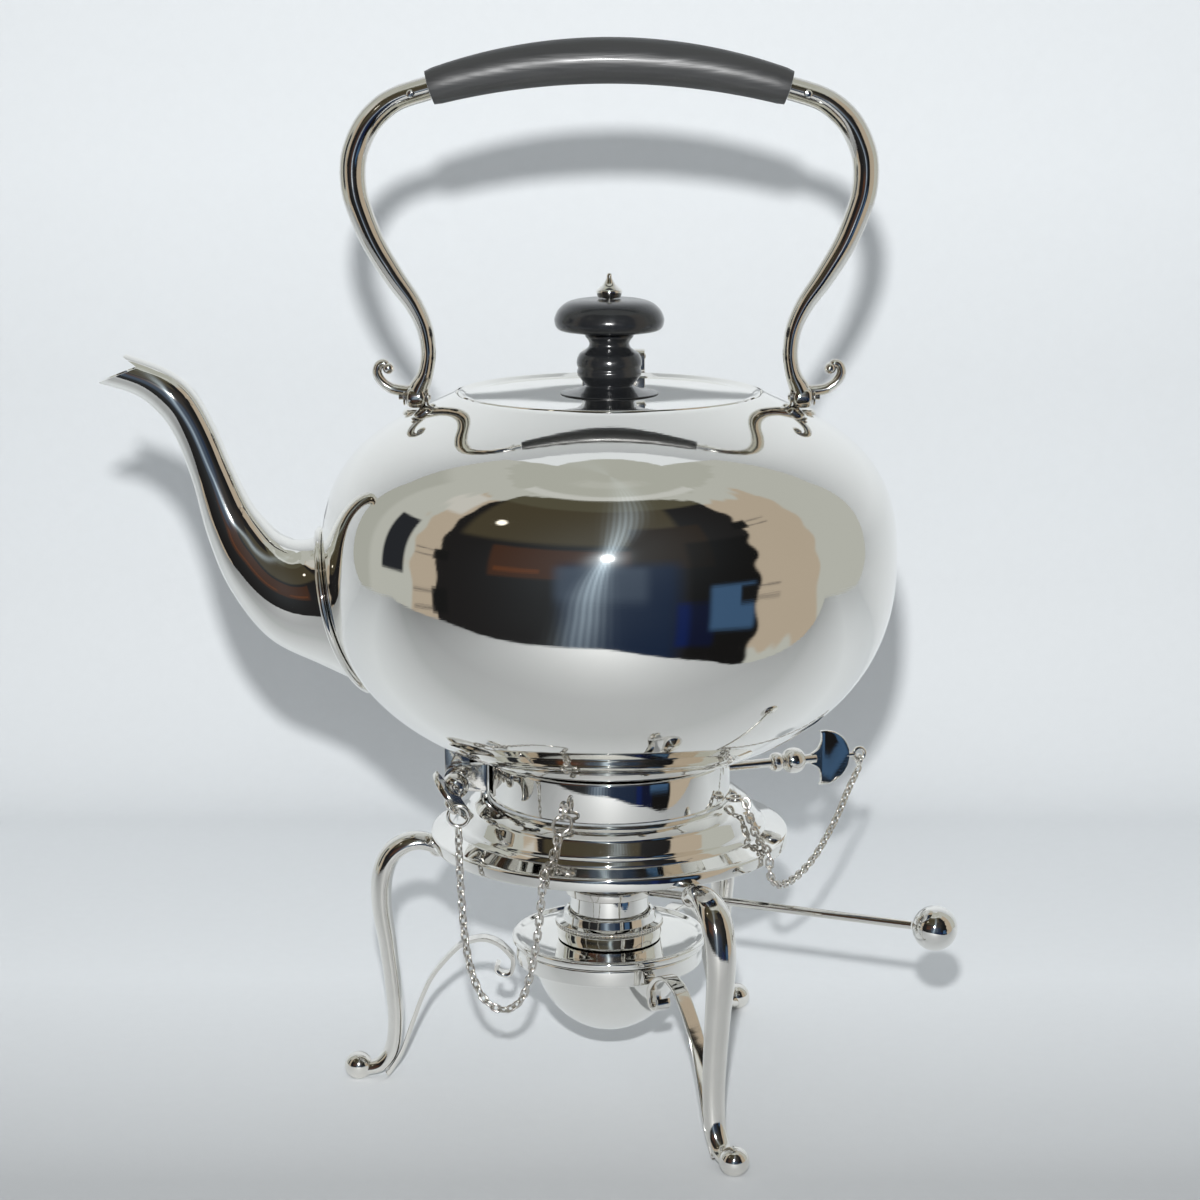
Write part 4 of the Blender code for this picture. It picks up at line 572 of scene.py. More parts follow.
turnedPiece(
    "lidPlate",
    [(bore, lidFloor + lid["dome"]), (0.016, lidFloor + lid["dome"]), (lidRim - 0.0042, lidFloor),
     (lidRim - 0.0024, lidFloor + 0.0003), (lidRim - 0.001, lidTop - 0.0001), (lidRim - 0.0003, lidTop - 0.00015),
     (lidRim, lidTop - 0.0008), (lidRim - 0.0003, lidBase), (bezel, lidBase), (bezel - 0.00025, bezelEnd),
     (wallIn, bezelEnd), (wallIn, under), (bore, under)],
    brightSilver, "lid", "lid", steps=192, ease=0.0002,
)
stemBase = lidTop + lid["gap"]
turnedPiece("knobStem", bored(scaled(lid["stem"], 1, 1, stemBase), bore), knobWood, "lid", steps=96, ease=0.0009)
capBase = stemBase + lid["stemHeight"] + lid["gap"]
turnedPiece("knobCap", bored(smoothCurve(scaled(lid["cap"], 1, 1, capBase), 5), bore), knobWood, "lid", steps=96)
finialBase = capBase + lid["capHeight"] + lid["gap"]
finial = smoothCurve(scaled(lid["finial"], 1, lid["finialHeight"], finialBase), 4)
tailZ = lidBase - lid["finialTail"]
turnedPiece(
    "finialScrew", finial + [(lid["rod"], finialBase), (lid["rod"], tailZ), (0, tailZ)], castSilver, "lid",
    steps=48, ease=0.0001, closed=False,
)
print("lid and knob turned")


# handle: ebony grip between two cast arms that end in scrolls

handle = dict(
    pivotZ=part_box("handle_pivot_left")[0].z + 0.0018, halfSpan=0.0792, rise=0.0947, gripHalf=0.0548,
    gripZ=0.1029, gripDrop=0.0082, gripMiddle=0.007, gripEnd=0.0055, thickness=0.0073, depth=0.0074,
    scrollThickness=0.0033, scrollBall=0.0019, knuckle=0.0035, knuckleX=0.0602, knuckleHalf=0.003,
    gap=0.0003, cheek=0.0027, cheekWidth=0.0007, lugFoot=0.0046, lugTop=0.0038,
    arm=((0.809, 0.9694, 1, 0.97), (0.879, 0.9336, 1.06, 1), (0.936, 0.882, 1.09, 1), (0.976, 0.815, 1.1, 1),
        (0.993, 0.7508, 1.1, 1), (0.989, 0.6716, 1.08, 1), (0.964, 0.5977, 1.04, 0.98), (0.914, 0.4974, 0.98, 0.95),
        (0.838, 0.3918, 0.9, 0.9), (0.766, 0.3052, 0.79, 0.83), (0.724, 0.2281, 0.71, 0.77), (0.71, 0.1542, 0.66, 0.74),
        (0.716, 0.1014, 0.66, 0.73), (0.728, 0.0644, 0.72, 0.76), (0.747, 0.0306, 0.88, 0.84),
        (0.7585, 0.004, 0.96, 0.88), (0.7605, -0.016, 0.84, 0.8)),
    curl=((0.06, 0.0022, 1.25), (0.0634, 0.0019, 1.15), (0.0679, 0.0028, 1.05), (0.0708, 0.0049, 0.98),
        (0.0722, 0.0075, 0.92), (0.0717, 0.0099, 0.85), (0.0699, 0.0106, 0.78), (0.0687, 0.009, 0.75)),
)
bowRadius = (handle["gripHalf"] ** 2 + handle["gripDrop"] ** 2) / (2 * handle["gripDrop"])
bowZ = handle["pivotZ"] + handle["gripZ"] - bowRadius
bowEnd = asin(handle["gripHalf"] / bowRadius)


def gripPoint(angle):
    return Vector((bowRadius * sin(angle), 0, bowZ + bowRadius * cos(angle)))


gripRings = []
gripLast = 48
for index in range(gripLast + 1):
    share = 2 * index / gripLast - 1
    radius = handle["gripEnd"] + (handle["gripMiddle"] - handle["gripEnd"]) * (1 - share**2)
    out = Vector((sin(share * bowEnd), 0, cos(share * bowEnd)))
    softer = 1 - 0.05 * max(0, 1 - min(index, gripLast - index))  # the end edge is eased
    gripRings.append([gripPoint(share * bowEnd) + out * u + Vector((0, v, 0)) for u, v in circle(radius * softer, 40)])
loftPiece("ebonyGrip", gripRings, gripWood, "handle", "handle_grip")

armSection = [
    (copysign(abs(u * 2) ** 1.35, u) / 2, copysign(abs(v * 2) ** 1.35, v) / 2) for u, v in circle(0.5, 32)
]  # rounded off, with a soft ridge along the front
start = gripPoint(bowEnd) + Vector((cos(bowEnd), 0, -sin(bowEnd))) * handle["gap"]
pivotZ, eyeX, eyeHalf = handle["pivotZ"], handle["knuckleX"], handle["knuckleHalf"]
stations = [(start.x, start.z, handle["thickness"], handle["depth"])] + [
    (out * handle["halfSpan"], pivotZ + up * handle["rise"], thick * handle["thickness"], deep * handle["depth"])
    for out, up, thick, deep in handle["arm"]
]
wire = handle["scrollThickness"]
curl = [(out, pivotZ + up, thick * wire, thick * wire) for out, up, thick in handle["curl"]]
knuckle = [(handle["knuckle"] * (1 - 0.3 * t**4), eyeX - t * eyeHalf) for t in (i / 8 - 1 for i in range(17))]
knuckle = softenCorners(bored(knuckle, 0), 0.0005)
near, far = eyeHalf + handle["gap"], eyeHalf + handle["gap"] + handle["cheekWidth"]
cheek = softenCorners([(0, far), (handle["cheek"], far), (handle["cheek"], near), (0, near)], 0.0003)
top, foot = pivotZ - handle["knuckle"] - handle["gap"], overBody(eyeX) - 0.0012
post = softenCorners([(0, top), (handle["lugTop"], top), (handle["lugFoot"], foot), (0, foot)], 0.0008)
for side in ("left", "right"):
    shape = bmesh.new()
    loftInto(shape, barRings(smoothCurve(stations, 7), armSection))
    loftInto(shape, barRings(smoothCurve(curl, 8), armSection))
    ballInto(shape, (curl[-1][0], 0, curl[-1][1]), handle["scrollBall"], 24)
    latheInto(shape, knuckle, 40, place=along((1, 0, 0), (0, 0, pivotZ)))
    mirroredPiece("handleArm", side, shape, "handle")
    shape = bmesh.new()  # the lug: a short post and two cheeks that hold the knuckle
    for step in (-1, 1):
        latheInto(shape, cheek, 40, place=along((step, 0, 0), (eyeX, 0, pivotZ)))
    latheInto(shape, post, 40, place=Matrix.Translation((eyeX, 0, 0)))
    mirroredPiece("handleLug", side, shape, "kettle")
print("handle cast")


# stand: collar, flared skirt, cabriole legs with ball feet, and scrolled straps

stand = dict(
    collarBore=0.0371, collarWall=0.0016, collarBase=0.0991, collarTop=0.1119, skirtBore=0.038,
    skirtRim=0.0573, rimZ=0.0833, gap=0.0003, lockAzimuth=20, lockZ=0.1032, lockHole=0.0018,
    skirt=((0.036, 1), (0.155, 0.981), (0.285, 0.897), (0.378, 0.813), (0.513, 0.555), (0.544, 0.51), (0.585, 0.471),
        (0.632, 0.387), (0.632, 0.361), (0.922, 0.277), (1, 0.252), (1, 0), (0.917, 0), (0.917, 0.161),
        (0.57, 0.245), (0.456, 0.46), (0.25, 0.8), (0, 0.91)),
    azimuths=dict(left=177.1, front=-62.9, rear=57.1),
    footSpread=0.0828, footBall=0.0046, footZ=0.004, legWidth=0.0102, legThickness=0.0066,
    bud=0.0034, budInset=0.0018,
    leg=((-0.07, 0.955, 0.64, 0.76), (0.125, 0.976, 0.78, 0.85), (0.341, 0.966, 0.94, 0.94), (0.537, 0.916, 1, 1),
        (0.643, 0.825, 0.98, 1), (0.655, 0.711, 0.92, 0.94), (0.592, 0.566, 0.84, 0.85), (0.529, 0.398, 0.78, 0.79),
        (0.502, 0.253, 0.73, 0.74), (0.545, 0.1325, 0.69, 0.71), (0.675, 0.063, 0.65, 0.7), (0.851, 0.041, 0.61, 0.67),
        (1, 0.0506, 0.59, 0.64)),
    section=((0.56, 0), (0.47, 0.24), (0.24, 0.42), (-0.08, 0.5), (-0.34, 0.4), (-0.44, 0.18), (-0.46, -0.18),
        (-0.34, -0.4), (-0.08, -0.5), (0.24, -0.42), (0.47, -0.24)),
    cradleBore=0.0276, cradleRim=0.0302, cradleTop=0.0486, cradleBase=0.0431,
    strapThickness=0.0015, strapWidth=0.0052, strapCrown=0.0486, strapSpread=0.0733,
    strap=((0.881, 0.401), (0.839, 0.576), (0.791, 0.73), (0.72, 0.868), (0.662, 0.953), (0.606, 0.992), (0.546, 1),
        (0.487, 0.963), (0.441, 0.895), (0.427, 0.85), (0.437, 0.772), (0.471, 0.757), (0.501, 0.788), (0.495, 0.831)),
)
collarOuter = stand["collarBore"] + stand["collarWall"]
collarBore, collarTop, collarBase = stand["collarBore"], stand["collarTop"], stand["collarBase"]
collarPiece = turnedPiece(
    "standCollar",
    [(collarBore, collarTop), (collarOuter - 0.0003, collarTop), (collarOuter, collarTop - 0.0006),
     (collarOuter, collarBase), (collarBore, collarBase)],
    brightSilver, "stand", steps=160,
)
for ringPiece in (collarPiece, footRing):  # the lock pin goes through both
    holeShape = bmesh.new()
    holePath = [polar(radius, stand["lockAzimuth"], stand["lockZ"]) for radius in (0.028, 0.045)]
    tubeInto(holeShape, holePath, stand["lockHole"], 32)
    cutWith(ringPiece, holeShape)
skirtTall = collarBase - stand["gap"] - stand["rimZ"]
skirtReach = stand["skirtRim"] - stand["skirtBore"]
turnedPiece(
    "standSkirt", scaled(stand["skirt"], skirtReach, skirtTall, stand["rimZ"], stand["skirtBore"]),
    brightSilver, "stand", steps=192, ease=0.0009,
)
legReach = stand["footSpread"] - stand["skirtRim"]
legStations = [
    (stand["skirtRim"] + out * legReach, up * stand["rimZ"], thick * stand["legThickness"], wide * stand["legWidth"])
    for out, up, wide, thick in stand["leg"]
]


def besideLeg(index, further=0):
    before, here, after = legStations[index - 1:index + 2]
    run = Vector((after[0] - before[0], after[1] - before[1])).normalized()
    away = 0.44 * here[2] + 0.0006 + stand["strapThickness"] / 2
    return here[0] + run.y * away + run.x * further, here[1] - run.x * away + run.y * further


strapPath = [besideLeg(10, stand["strapThickness"]), besideLeg(10), besideLeg(9)]
strapPath += scaled(stand["strap"], stand["strapSpread"], stand["strapCrown"], 0)
strapStations = [(out, up, stand["strapThickness"], stand["strapWidth"]) for out, up in strapPath]
strapSection = softenCorners([(0.5, -0.42), (0.5, 0.42), (-0.5, 0.5), (-0.5, -0.5)], 0.18, closed=True)
wrapped = stand["section"][-1:] + stand["section"] + stand["section"][:2]
legSection = smoothCurve(wrapped, 6)[6:-12]  # without the spans that overlap
for name, azimuth in stand["azimuths"].items():
    shape = bmesh.new()
    loftInto(shape, barRings(smoothCurve(legStations, 8), legSection, azimuth))
    budZ = stand["rimZ"] - stand["gap"] - stand["bud"]
    ballInto(shape, polar(stand["skirtRim"] - stand["budInset"], azimuth, budZ), stand["bud"])
    ballInto(shape, polar(stand["footSpread"], azimuth, stand["footZ"]), stand["footBall"], 40)
    for vert in shape.verts:
        vert.co.z = max(vert.co.z, 0)
    addPiece("leg" + name.capitalize(), shape, castSilver, "stand")
    strapRings = barRings(smoothCurve(strapStations, 8), strapSection, azimuth)
    loftPiece("strap" + name.capitalize(), strapRings, castSilver, "stand")


tubePiece(
    "lampCradle", stand["cradleBore"], stand["cradleRim"], stand["cradleBase"], stand["cradleTop"],
    brightSilver, "stand", ease=0.0006,
)
print("stand made")


# spirit lamp

lamp = dict(
    seatZ=0.0489, gap=0.0003, bowlRadius=0.0252, bowlDepth=0.0291, wall=0.0012,
    topRadius=0.0316, topHeight=0.0028,
    top=((0.54, 0.43), (0.76, 0.46), (0.9, 0.68), (0.956, 1), (0.981, 1), (1, 0.82), (1, 0.4), (0.975, 0.03),
        (0.823, 0)),
    burner=0.0175, burnerNeck=0.0139, burnerHeight=0.0075, burnerTail=0.0027,
    burnerSide=((0.98, 1), (1, 0.93), (1, 0.77), (0.96, 0.71), (0.97, 0.42), (0.95, 0)),
    burnerRing=((0.0133, 0.0596), (0.014, 0.06), (0.0147, 0.0594)),
    tube=0.01, tubeBase=0.03, tubeTop=0.072, wick=0.0083,
    wickLine=((0, 0.0735), (0.0058, 0.073), (0.0083, 0.0725), (0.0083, 0.024), (0, 0.024)),
    sleeve=0.0129, sleeveMouth=0.0113, sleeveTop=0.08, sleeveBase=0.0589,
    regulatorZ=0.0669, ringOuter=0.0142, ringHalf=0.0013, regulatorAzimuth=-22.5, rod=0.00135,
    reach=0.1015, ball=0.007,
)
lampSeat, lampGap = lamp["seatZ"], lamp["gap"]
bowlTop = lampSeat - lampGap


def bowlLine(grow):
    radius, depth = lamp["bowlRadius"] + grow, lamp["bowlDepth"] + grow
    arc = [pi / 2 * i / 28 for i in range(28)]
    return [(radius * cos(a), bowlTop - depth * sin(a)) for a in arc] + [(0, bowlTop - depth)]


turnedPiece(
    "lampBowl", bowlLine(-lamp["wall"])[::-1] + bowlLine(0), brightSilver, "lamp", closed=False,
)
topLine = scaled(lamp["top"], lamp["topRadius"], lamp["topHeight"], lampSeat)
neckBore = lamp["burnerNeck"] + lampGap
turnedPiece(
    "lampTop", bored(topLine, neckBore), brightSilver, "lamp", ease=0.0005,
)
burnerSeat = lampSeat + lamp["topHeight"] * 0.46 + lampGap
burnerTall = lamp["burnerHeight"] - (burnerSeat - lampSeat)
burnerLine = scaled(lamp["burnerSide"], lamp["burner"], burnerTall, burnerSeat)
burnerTop, burnerEnd = burnerLine[0][1], lampSeat - lamp["burnerTail"]
tubeBore = lamp["tube"] + lampGap
turnedPiece(
    "burnerCollar",
    [(tubeBore, burnerTop), (lamp["burnerRing"][0][0], burnerTop), *lamp["burnerRing"], (0.015, burnerTop + 0.0004)]
    + burnerLine + [(lamp["burnerNeck"], burnerSeat), (lamp["burnerNeck"], burnerEnd), (tubeBore, burnerEnd)],
    brightSilver, "lamp", steps=480, ease=0.0002,
    milled={"low": burnerSeat + 0.74 * burnerTall, "high": burnerSeat + 0.97 * burnerTall, "inside": 0.0168,
            "depth": 0.0003, "teeth": 96},
)
tubePiece(
    "wickTube", lamp["wick"] + lampGap, lamp["tube"], lamp["tubeBase"], lamp["tubeTop"], castSilver, "lamp", 96
)
sleeve, sleeveBase, sleeveTop = lamp["sleeve"], lamp["sleeveBase"], lamp["sleeveTop"]
turnedPiece(
    "flameSleeve",
    [(tubeBore, sleeveTop), (lamp["sleeveMouth"], sleeveTop), (sleeve - 0.0007, lamp["regulatorZ"]),
     (sleeve, sleeveBase + 0.0003), (sleeve, sleeveBase), (tubeBore, sleeveBase)],
    brightSilver, "sleeve", steps=160, ease=0.0002,
)
tubePiece(
    "regulatorRing", sleeve + lampGap, lamp["ringOuter"], lamp["regulatorZ"] - lamp["ringHalf"],
    lamp["regulatorZ"] + lamp["ringHalf"], castSilver, "regulator", 96,
)
turnedPiece("cottonWick", lamp["wickLine"], cotton, "lamp", "wick", steps=64, closed=False)


def onRod(radius):
    return polar(radius, lamp["regulatorAzimuth"], lamp["regulatorZ"])


shape = bmesh.new()
tubeInto(shape, [onRod(lamp["ringOuter"] + 0.0002), onRod(lamp["reach"])], lamp["rod"], 24)
addPiece("regulatorRod", shape, castSilver, "regulator")
shape = bmesh.new()
ballInto(shape, onRod(lamp["reach"] + lampGap + lamp["ball"]), lamp["ball"], 64)
addPiece("regulatorBall", shape, brightSilver, "regulator")
print("lamp made")


# draw-out pins with axe-shaped thumb pieces

pins = dict(
    radius=0.0015, beadRadius=0.0032, beadLength=0.0044, ballRadius=0.0043, ballLength=0.0072, neck=0.0016,
    neckLength=0.0028, bladeHalf=0.0093, bladeLength=0.0138, bladeThickness=0.0017, bladeDip=9,
    bladeInner=((0.99, 0.24), (0.66, 0.25), (0.36, 0.17), (0.2, 0)),
    bladeEdge=((1, 0.955), (0.8, 0.985), (0.4, 1), (-0.4, 1), (-0.8, 0.985), (-1, 0.955)),
    stem=0.0009, eye=0.002, eyeWire=0.00075, ringWire=0.0005, lug=0.0024, lugWire=0.0007, gap=0.0003,
    hingePlace=(-0.0485, -0.0089, 0.1055), hingeTail=0.0186, hingeRoll=-51.5, hingeRing=0.0032,
    lockReach=0.0561, lockTip=0.0369, lockRing=0.0017, frontAzimuth=-109.6, sideAzimuth=-19,
)
bladeZ = pins["beadLength"] + pins["gap"] + pins["ballLength"] + pins["neckLength"]
eyeZ = bladeZ + pins["bladeLength"] + pins["eye"] + pins["eyeWire"] + pins["stem"]


def beadLine(low, high, radius, steps):
    angles = [pi / 2 - pi * i / steps for i in range(steps + 1)]
    middle, half, neck = (low + high) / 2, (high - low) / 2, pins["neck"]
    return [(neck + (radius - neck) * cos(a), middle + half * sin(a)) for a in angles]


def bladeInto(shape, place):
    # an axe head: round outer edge, two backswept points, hollow inner edges
    half, tall = pins["bladeHalf"], pins["bladeLength"]
    dip = radians(pins["bladeDip"])
    inner = smoothCurve(scaled(pins["bladeInner"], half, tall, bladeZ), 5)[1:]
    line = circle(half, 41, (0, bladeZ + tall - half), -dip, pi + 2 * dip) + [(-x, z) for x, z in inner] + inner[::-1]
    middle = bladeZ + tall / 2
    loftInto(shape, [
        [place @ Vector((x * out, share * pins["bladeThickness"] / 2, middle + (z - middle) * out)) for x, z in line]
        for share, out in pins["bladeEdge"]
    ])


def drawPin(name, tail, place, roll):
    low, radius = pins["beadLength"] + pins["gap"], pins["radius"]
    line = [(0, bladeZ + pins["neck"]), (pins["neck"], bladeZ + pins["neck"])]
    line += beadLine(low, low + pins["ballLength"], pins["ballRadius"], 24)
    line += beadLine(0, pins["beadLength"], pins["beadRadius"], 16)
    line += [(radius, 0), (radius, -tail + radius / 2), (radius / 2, -tail), (0, -tail)]
    shape = bmesh.new()
    latheInto(shape, softenCorners(line, 0.0002), 48, place=place)
    rolled = place @ Matrix.Rotation(roll, 4, "Z")
    bladeInto(shape, rolled)
    stemEnds = (bladeZ + pins["bladeLength"] - 0.001, eyeZ - pins["eye"])
    tubeInto(shape, [place @ Vector((0, 0, z)) for z in stemEnds], pins["stem"])
    eyePlace = rolled @ Matrix.Translation((0, 0, eyeZ)) @ Matrix.Rotation(pi / 2, 4, "X")
    wireInto(shape, pins["eye"], pins["eyeWire"], eyePlace)
    addPiece(name, shape, castSilver, nodeName(name))
    return rolled


def jumpRing(name, rolled, radius, body):
    normal = (rolled.to_3x3() @ Vector((0, 1, 0))).normalized()
    hang = Vector((0, 0, -1))
    hang = (hang - normal * hang.dot(normal)).normalized()
    drop = pins["eye"] - pins["eyeWire"] - pins["ringWire"] - pins["gap"] + radius
    centre = rolled @ Vector((0, 0, eyeZ)) + hang * drop
    shape = bmesh.new()
    wireInto(shape, radius, pins["ringWire"] * 1.2, along(normal.cross(hang), centre))
    addPiece(name, shape, castSilver, body)
    return centre - Vector((0, 0, radius + pins["ringWire"] + pins["gap"]))


def lugCentre(azimuth, height):
    return polar(collarOuter + pins["gap"] + pins["lug"] + pins["lugWire"], azimuth, height)


hingeRolled = drawPin(
    "hingePin", pins["hingeTail"], along((0, -1, 0), pins["hingePlace"]), radians(pins["hingeRoll"])
)
leftStart = jumpRing("hingePinRing", hingeRolled, pins["hingeRing"], "hinge_pin")
lockSeat = polar(pins["lockReach"], stand["lockAzimuth"], stand["lockZ"])
lockPlace = along(polar(1, stand["lockAzimuth"], 0), lockSeat)
lockRolled = drawPin("lockPin", pins["lockReach"] - pins["lockTip"], lockPlace, pi / 2)
rightEnd = jumpRing("lockPinRing", lockRolled, pins["lockRing"], "lock_pin")
frontLug = lugCentre(pins["frontAzimuth"], collarBase + 2 * pins["lug"])
sideLug = lugCentre(pins["sideAzimuth"], collarBase + 2 * pins["lugWire"])
for name, centre, axis in (
    ("front", frontLug, polar(1, pins["frontAzimuth"] + 90, 0)), ("side", sideLug, Vector((0, 0, 1))),
):
    shape = bmesh.new()
    wireInto(shape, pins["lug"], pins["lugWire"], along(axis, centre))
    addPiece(name + "ChainLug", shape, castSilver, "stand")


# chains: each link its own loop of wire, a quarter turn from the next

chains = dict(
    pitch=0.0025, wire=0.0004, halfWidth=0.00105,
    left=inMillimetres((
        (-46.2, -41.1, 93), (-46, -41.5, 86), (-45.6, -42, 78), (-44.7, -43.5, 66), (-42.8, -45, 55), (-39, -46.5, 46),
        (-33, -48, 42.5), (-27.5, -50, 46), (-24.5, -52, 54), (-22.5, -53.5, 64), (-21.2, -54.6, 74),
        (-20.4, -55.2, 82), (-20.1, -55.3, 86.8), (-19.9, -54.4, 88.8), (-19, -52.2, 89.3), (-17.5, -47.9, 90.3),
        (-17.1, -46.6, 92.1), (-16.4, -44.8, 93.9), (-15.5, -42.5, 97.7), (-14.9, -41, 99.1),
    )),
    right=inMillimetres((
        (44, -16.6, 96.5), (45.3, -20.1, 92.6), (46.6, -23.7, 90.3), (47.9, -27.6, 89.3), (49.2, -30.3, 88.8),
        (49.8, -31.5, 86.8), (49.9, -31.4, 83.2), (50.7, -29.7, 78.6), (54.2, -23.4, 75), (59.8, -12.9, 74.5),
        (66.5, -0.6, 77.5), (73.9, 13, 85.4), (78.5, 21.8, 92.5), (81.2, 27, 96.2),
    )),
)


def evenPoints(points, spacing):
    found = [points[0]]
    travelled = 0
    for start, end in zip(points, points[1:]):
        length = (end - start).length
        while travelled + length >= spacing:
            start = start.lerp(end, (spacing - travelled) / length)
            found.append(start)
            length = (end - start).length
            travelled = 0
        travelled += length
    return found


def linkInto(shape, centre, run, side):
    # a loop of round wire, longer along the chain
    straight = chains["pitch"] / 2 + chains["wire"] - chains["halfWidth"]
    loop = []
    for x, y in circle(chains["halfWidth"], 20):
        loop.append((x + (copysign(straight, x) if abs(x) > 1e-9 else 0), y))
    up = run.cross(side)
    rings = []
    for index, (u, v) in enumerate(loop):
        before, after = loop[index - 1], loop[(index + 1) % len(loop)]
        tangent = Vector((after[0] - before[0], after[1] - before[1])).normalized()
        out = run * tangent.y - side * tangent.x
        rings.append([centre + run * u + side * v + out * a + up * b for a, b in circle(chains["wire"], 8)])
    loftInto(shape, rings, joined=True)


def chainPiece(name, points, ring=None):
    fine = [Vector(point) for point in smoothCurve(points, 24)]
    length = sum((b - a).length for a, b in zip(fine, fine[1:]))
    links = round(length / chains["pitch"])
    places = evenPoints(fine, length / links * 0.9999)
    shape = bmesh.new()
    side = Vector((0, 1, 0))
    if ring:  # the first link is a round ring through the lug
        run = (places[2] - places[0]).normalized()
        across = run.cross(Vector((0, 0, 1)).cross(run)).normalized()
        wireInto(shape, ring["radius"], ring["wire"], along(across, places[0] + run * ring["shift"]))
    for index in range(2 if ring else 0, len(places) - 1):
        run = (places[index + 1] - places[index]).normalized()
        side = (side - run * side.dot(run)).normalized()
        linkInto(shape, (places[index] + places[index + 1]) / 2, run, side if index % 2 else run.cross(side))
    bmesh.ops.transform(shape, matrix=axisPlace, verts=shape.verts)
    obj = addPiece(name, shape, chainSilver, None, sharp=60, place=Matrix())
    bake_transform(obj)
    print(name, len(places) - 1, "links,", round(length * 1000), "mm")


leftEnd = frontLug - Vector((0, 0, pins["lug"] + pins["lugWire"] + pins["gap"]))
rightStart = sideLug + polar(pins["lug"] + pins["lugWire"] + pins["gap"], pins["sideAzimuth"], 0)
chainPiece(
    "chainLeft", [leftEnd, *reversed(chains["left"]), leftStart],
    ring={"radius": 0.003, "wire": 0.00055, "shift": 0.001},
)
chainPiece("chainRight", [rightStart, *chains["right"], rightEnd])


# small castings that keep their CAD shape, with the edges eased as a file would

def easedPiece(name, width, body, narrower=1, shift=0):
    shape = bmesh.new()
    shape.from_mesh(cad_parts[nodeName(name)].data)
    bmesh.ops.remove_doubles(shape, verts=shape.verts, dist=1e-6)
    for vert in shape.verts:
        vert.co.x = standX + (vert.co.x - standX) * narrower + shift
    bmesh.ops.dissolve_limit(shape, angle_limit=radians(2), verts=shape.verts, edges=shape.edges)
    edges = [edge for edge in shape.edges if edge.is_manifold and edge.calc_face_angle(0) > radians(35)]
    bmesh.ops.bevel(shape, geom=edges, offset=width, segments=3, profile=0.5, affect="EDGES", clamp_overlap=True)
    addPiece(name, shape, castSilver, body, sharp=28, place=Matrix())


lidHinge = dict(narrower=0.825, shift=0.0014)
easedPiece("hingeBracket", 0.0006, "stand")
easedPiece("kettleHingeLug", 0.0007, "kettle")
easedPiece("lidHingeBase", 0.0004, "kettle", **lidHinge)
easedPiece("lidHingeLeaf", 0.0004, "lid", **lidHinge)
easedPiece("lidHingePin", 0.0002, "kettle", **lidHinge)
for name in ("handle_pivot_left", "handle_pivot_right", "knob_nut", "grip_rivet_left", "grip_rivet_right"):
    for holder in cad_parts[name].material_slots:
        holder.material = castSilver
print("pins, chains and small parts done")


# studio: pale sweep behind and below, and a painted reflection of the room in front, a sheet that only the silver sees

studio = dict(
    paper=(0.965, 1, 1.025), floorFront=-1.6, floorMiddle=0.05, floorBack=0.3, sweep=0.12, wallTop=1.4,
    lampPower=10.2, lampSize=0.02, lampRise=0.083, lampAside=-0.008, lampAim=0.17,
    ambientTint=(0.965, 0.985, 1, 1), ambient=0.395, backdropTint=(0.83, 0.87, 0.9, 1), backdrop=0.9,
    # tones: painted shade along the sweep, a share of the paper's colour for each distance forward and up
    tones=((-0.4, 0.33), (-0.17, 0.34), (-0.08, 0.42), (-0.05, 0.51), (0.02, 0.67), (0.1, 0.84), (0.28, 0.86),
        (0.5, 0.74), (0.6, 0.745), (0.7, 0.82), (0.9, 0.83)),
    edge=((-0.9, 0), (-0.61, -0.28), (-0.31, -0.37), (-0.1, -0.42), (0.02, -0.41), (0.18, -0.28), (0.24, -0.19),
        (0.45, -0.1), (0.9, -0.02)),
)


def paperMaterial():
    # painted shade and light: paler up the wall, darker towards the front of the table
    material, tree, shader = blankMaterial("backdropPaper")
    place = addNode(tree, "TexCoord").outputs["Object"]
    fibre = addNode(tree, "TexNoise", {"Scale": 220, "Detail": 6, "Vector": place})
    parts = addNode(tree, "SeparateXYZ", {0: place}).outputs
    reach = addNode(tree, "Math", {0: parts["Y"], 1: parts["Z"]}, operation="ADD")
    low, high = studio["tones"][0][0], studio["tones"][-1][0]
    share = addNode(tree, "MapRange", {"Value": reach, "From Min": low, "From Max": high})
    paintedShadeRamp = addNode(tree, "ValToRGB", {"Fac": share})
    stops = paintedShadeRamp.color_ramp.elements
    for index, (at, tone) in enumerate(studio["tones"]):
        spot = (at - low) / (high - low)
        stop = stops[index] if index < 2 else stops.new(spot)
        stop.position = spot
        stop.color = (*(min(tone * value, 1) for value in studio["paper"]), 1)
    fleck = addNode(tree, "Mix", {0: 0.03, 6: paintedShadeRamp, 7: fibre}, data_type="RGBA", blend_type="MULTIPLY")
    bump = addNode(tree, "Bump", {"Strength": 0.15, "Distance": 0.0005, "Height": fibre})
    feedAll(tree, shader.inputs, {"Base Color": fleck.outputs[2], "Normal": bump, "Roughness": 0.75})
    behind = addNode(tree, "NewGeometry").outputs["Backfacing"]
    both = addNode(tree, "MixShader", {0: behind, 1: shader, 2: addNode(tree, "BsdfTransparent")})
    feedAll(tree, tree.nodes["Material Output"].inputs, {"Surface": both})
    return material


def stageSheet(name, lines, material):
    # a sheet through rows of points
    shape = bmesh.new()
    bridge(shape, [[shape.verts.new(point) for point in line] for line in lines], around=False)
    mesh = meshFrom(name, shape, 180, outward=False)
    mesh.materials.append(material)
    obj = placed(name, mesh)
    obj.location.x = standX
    return obj


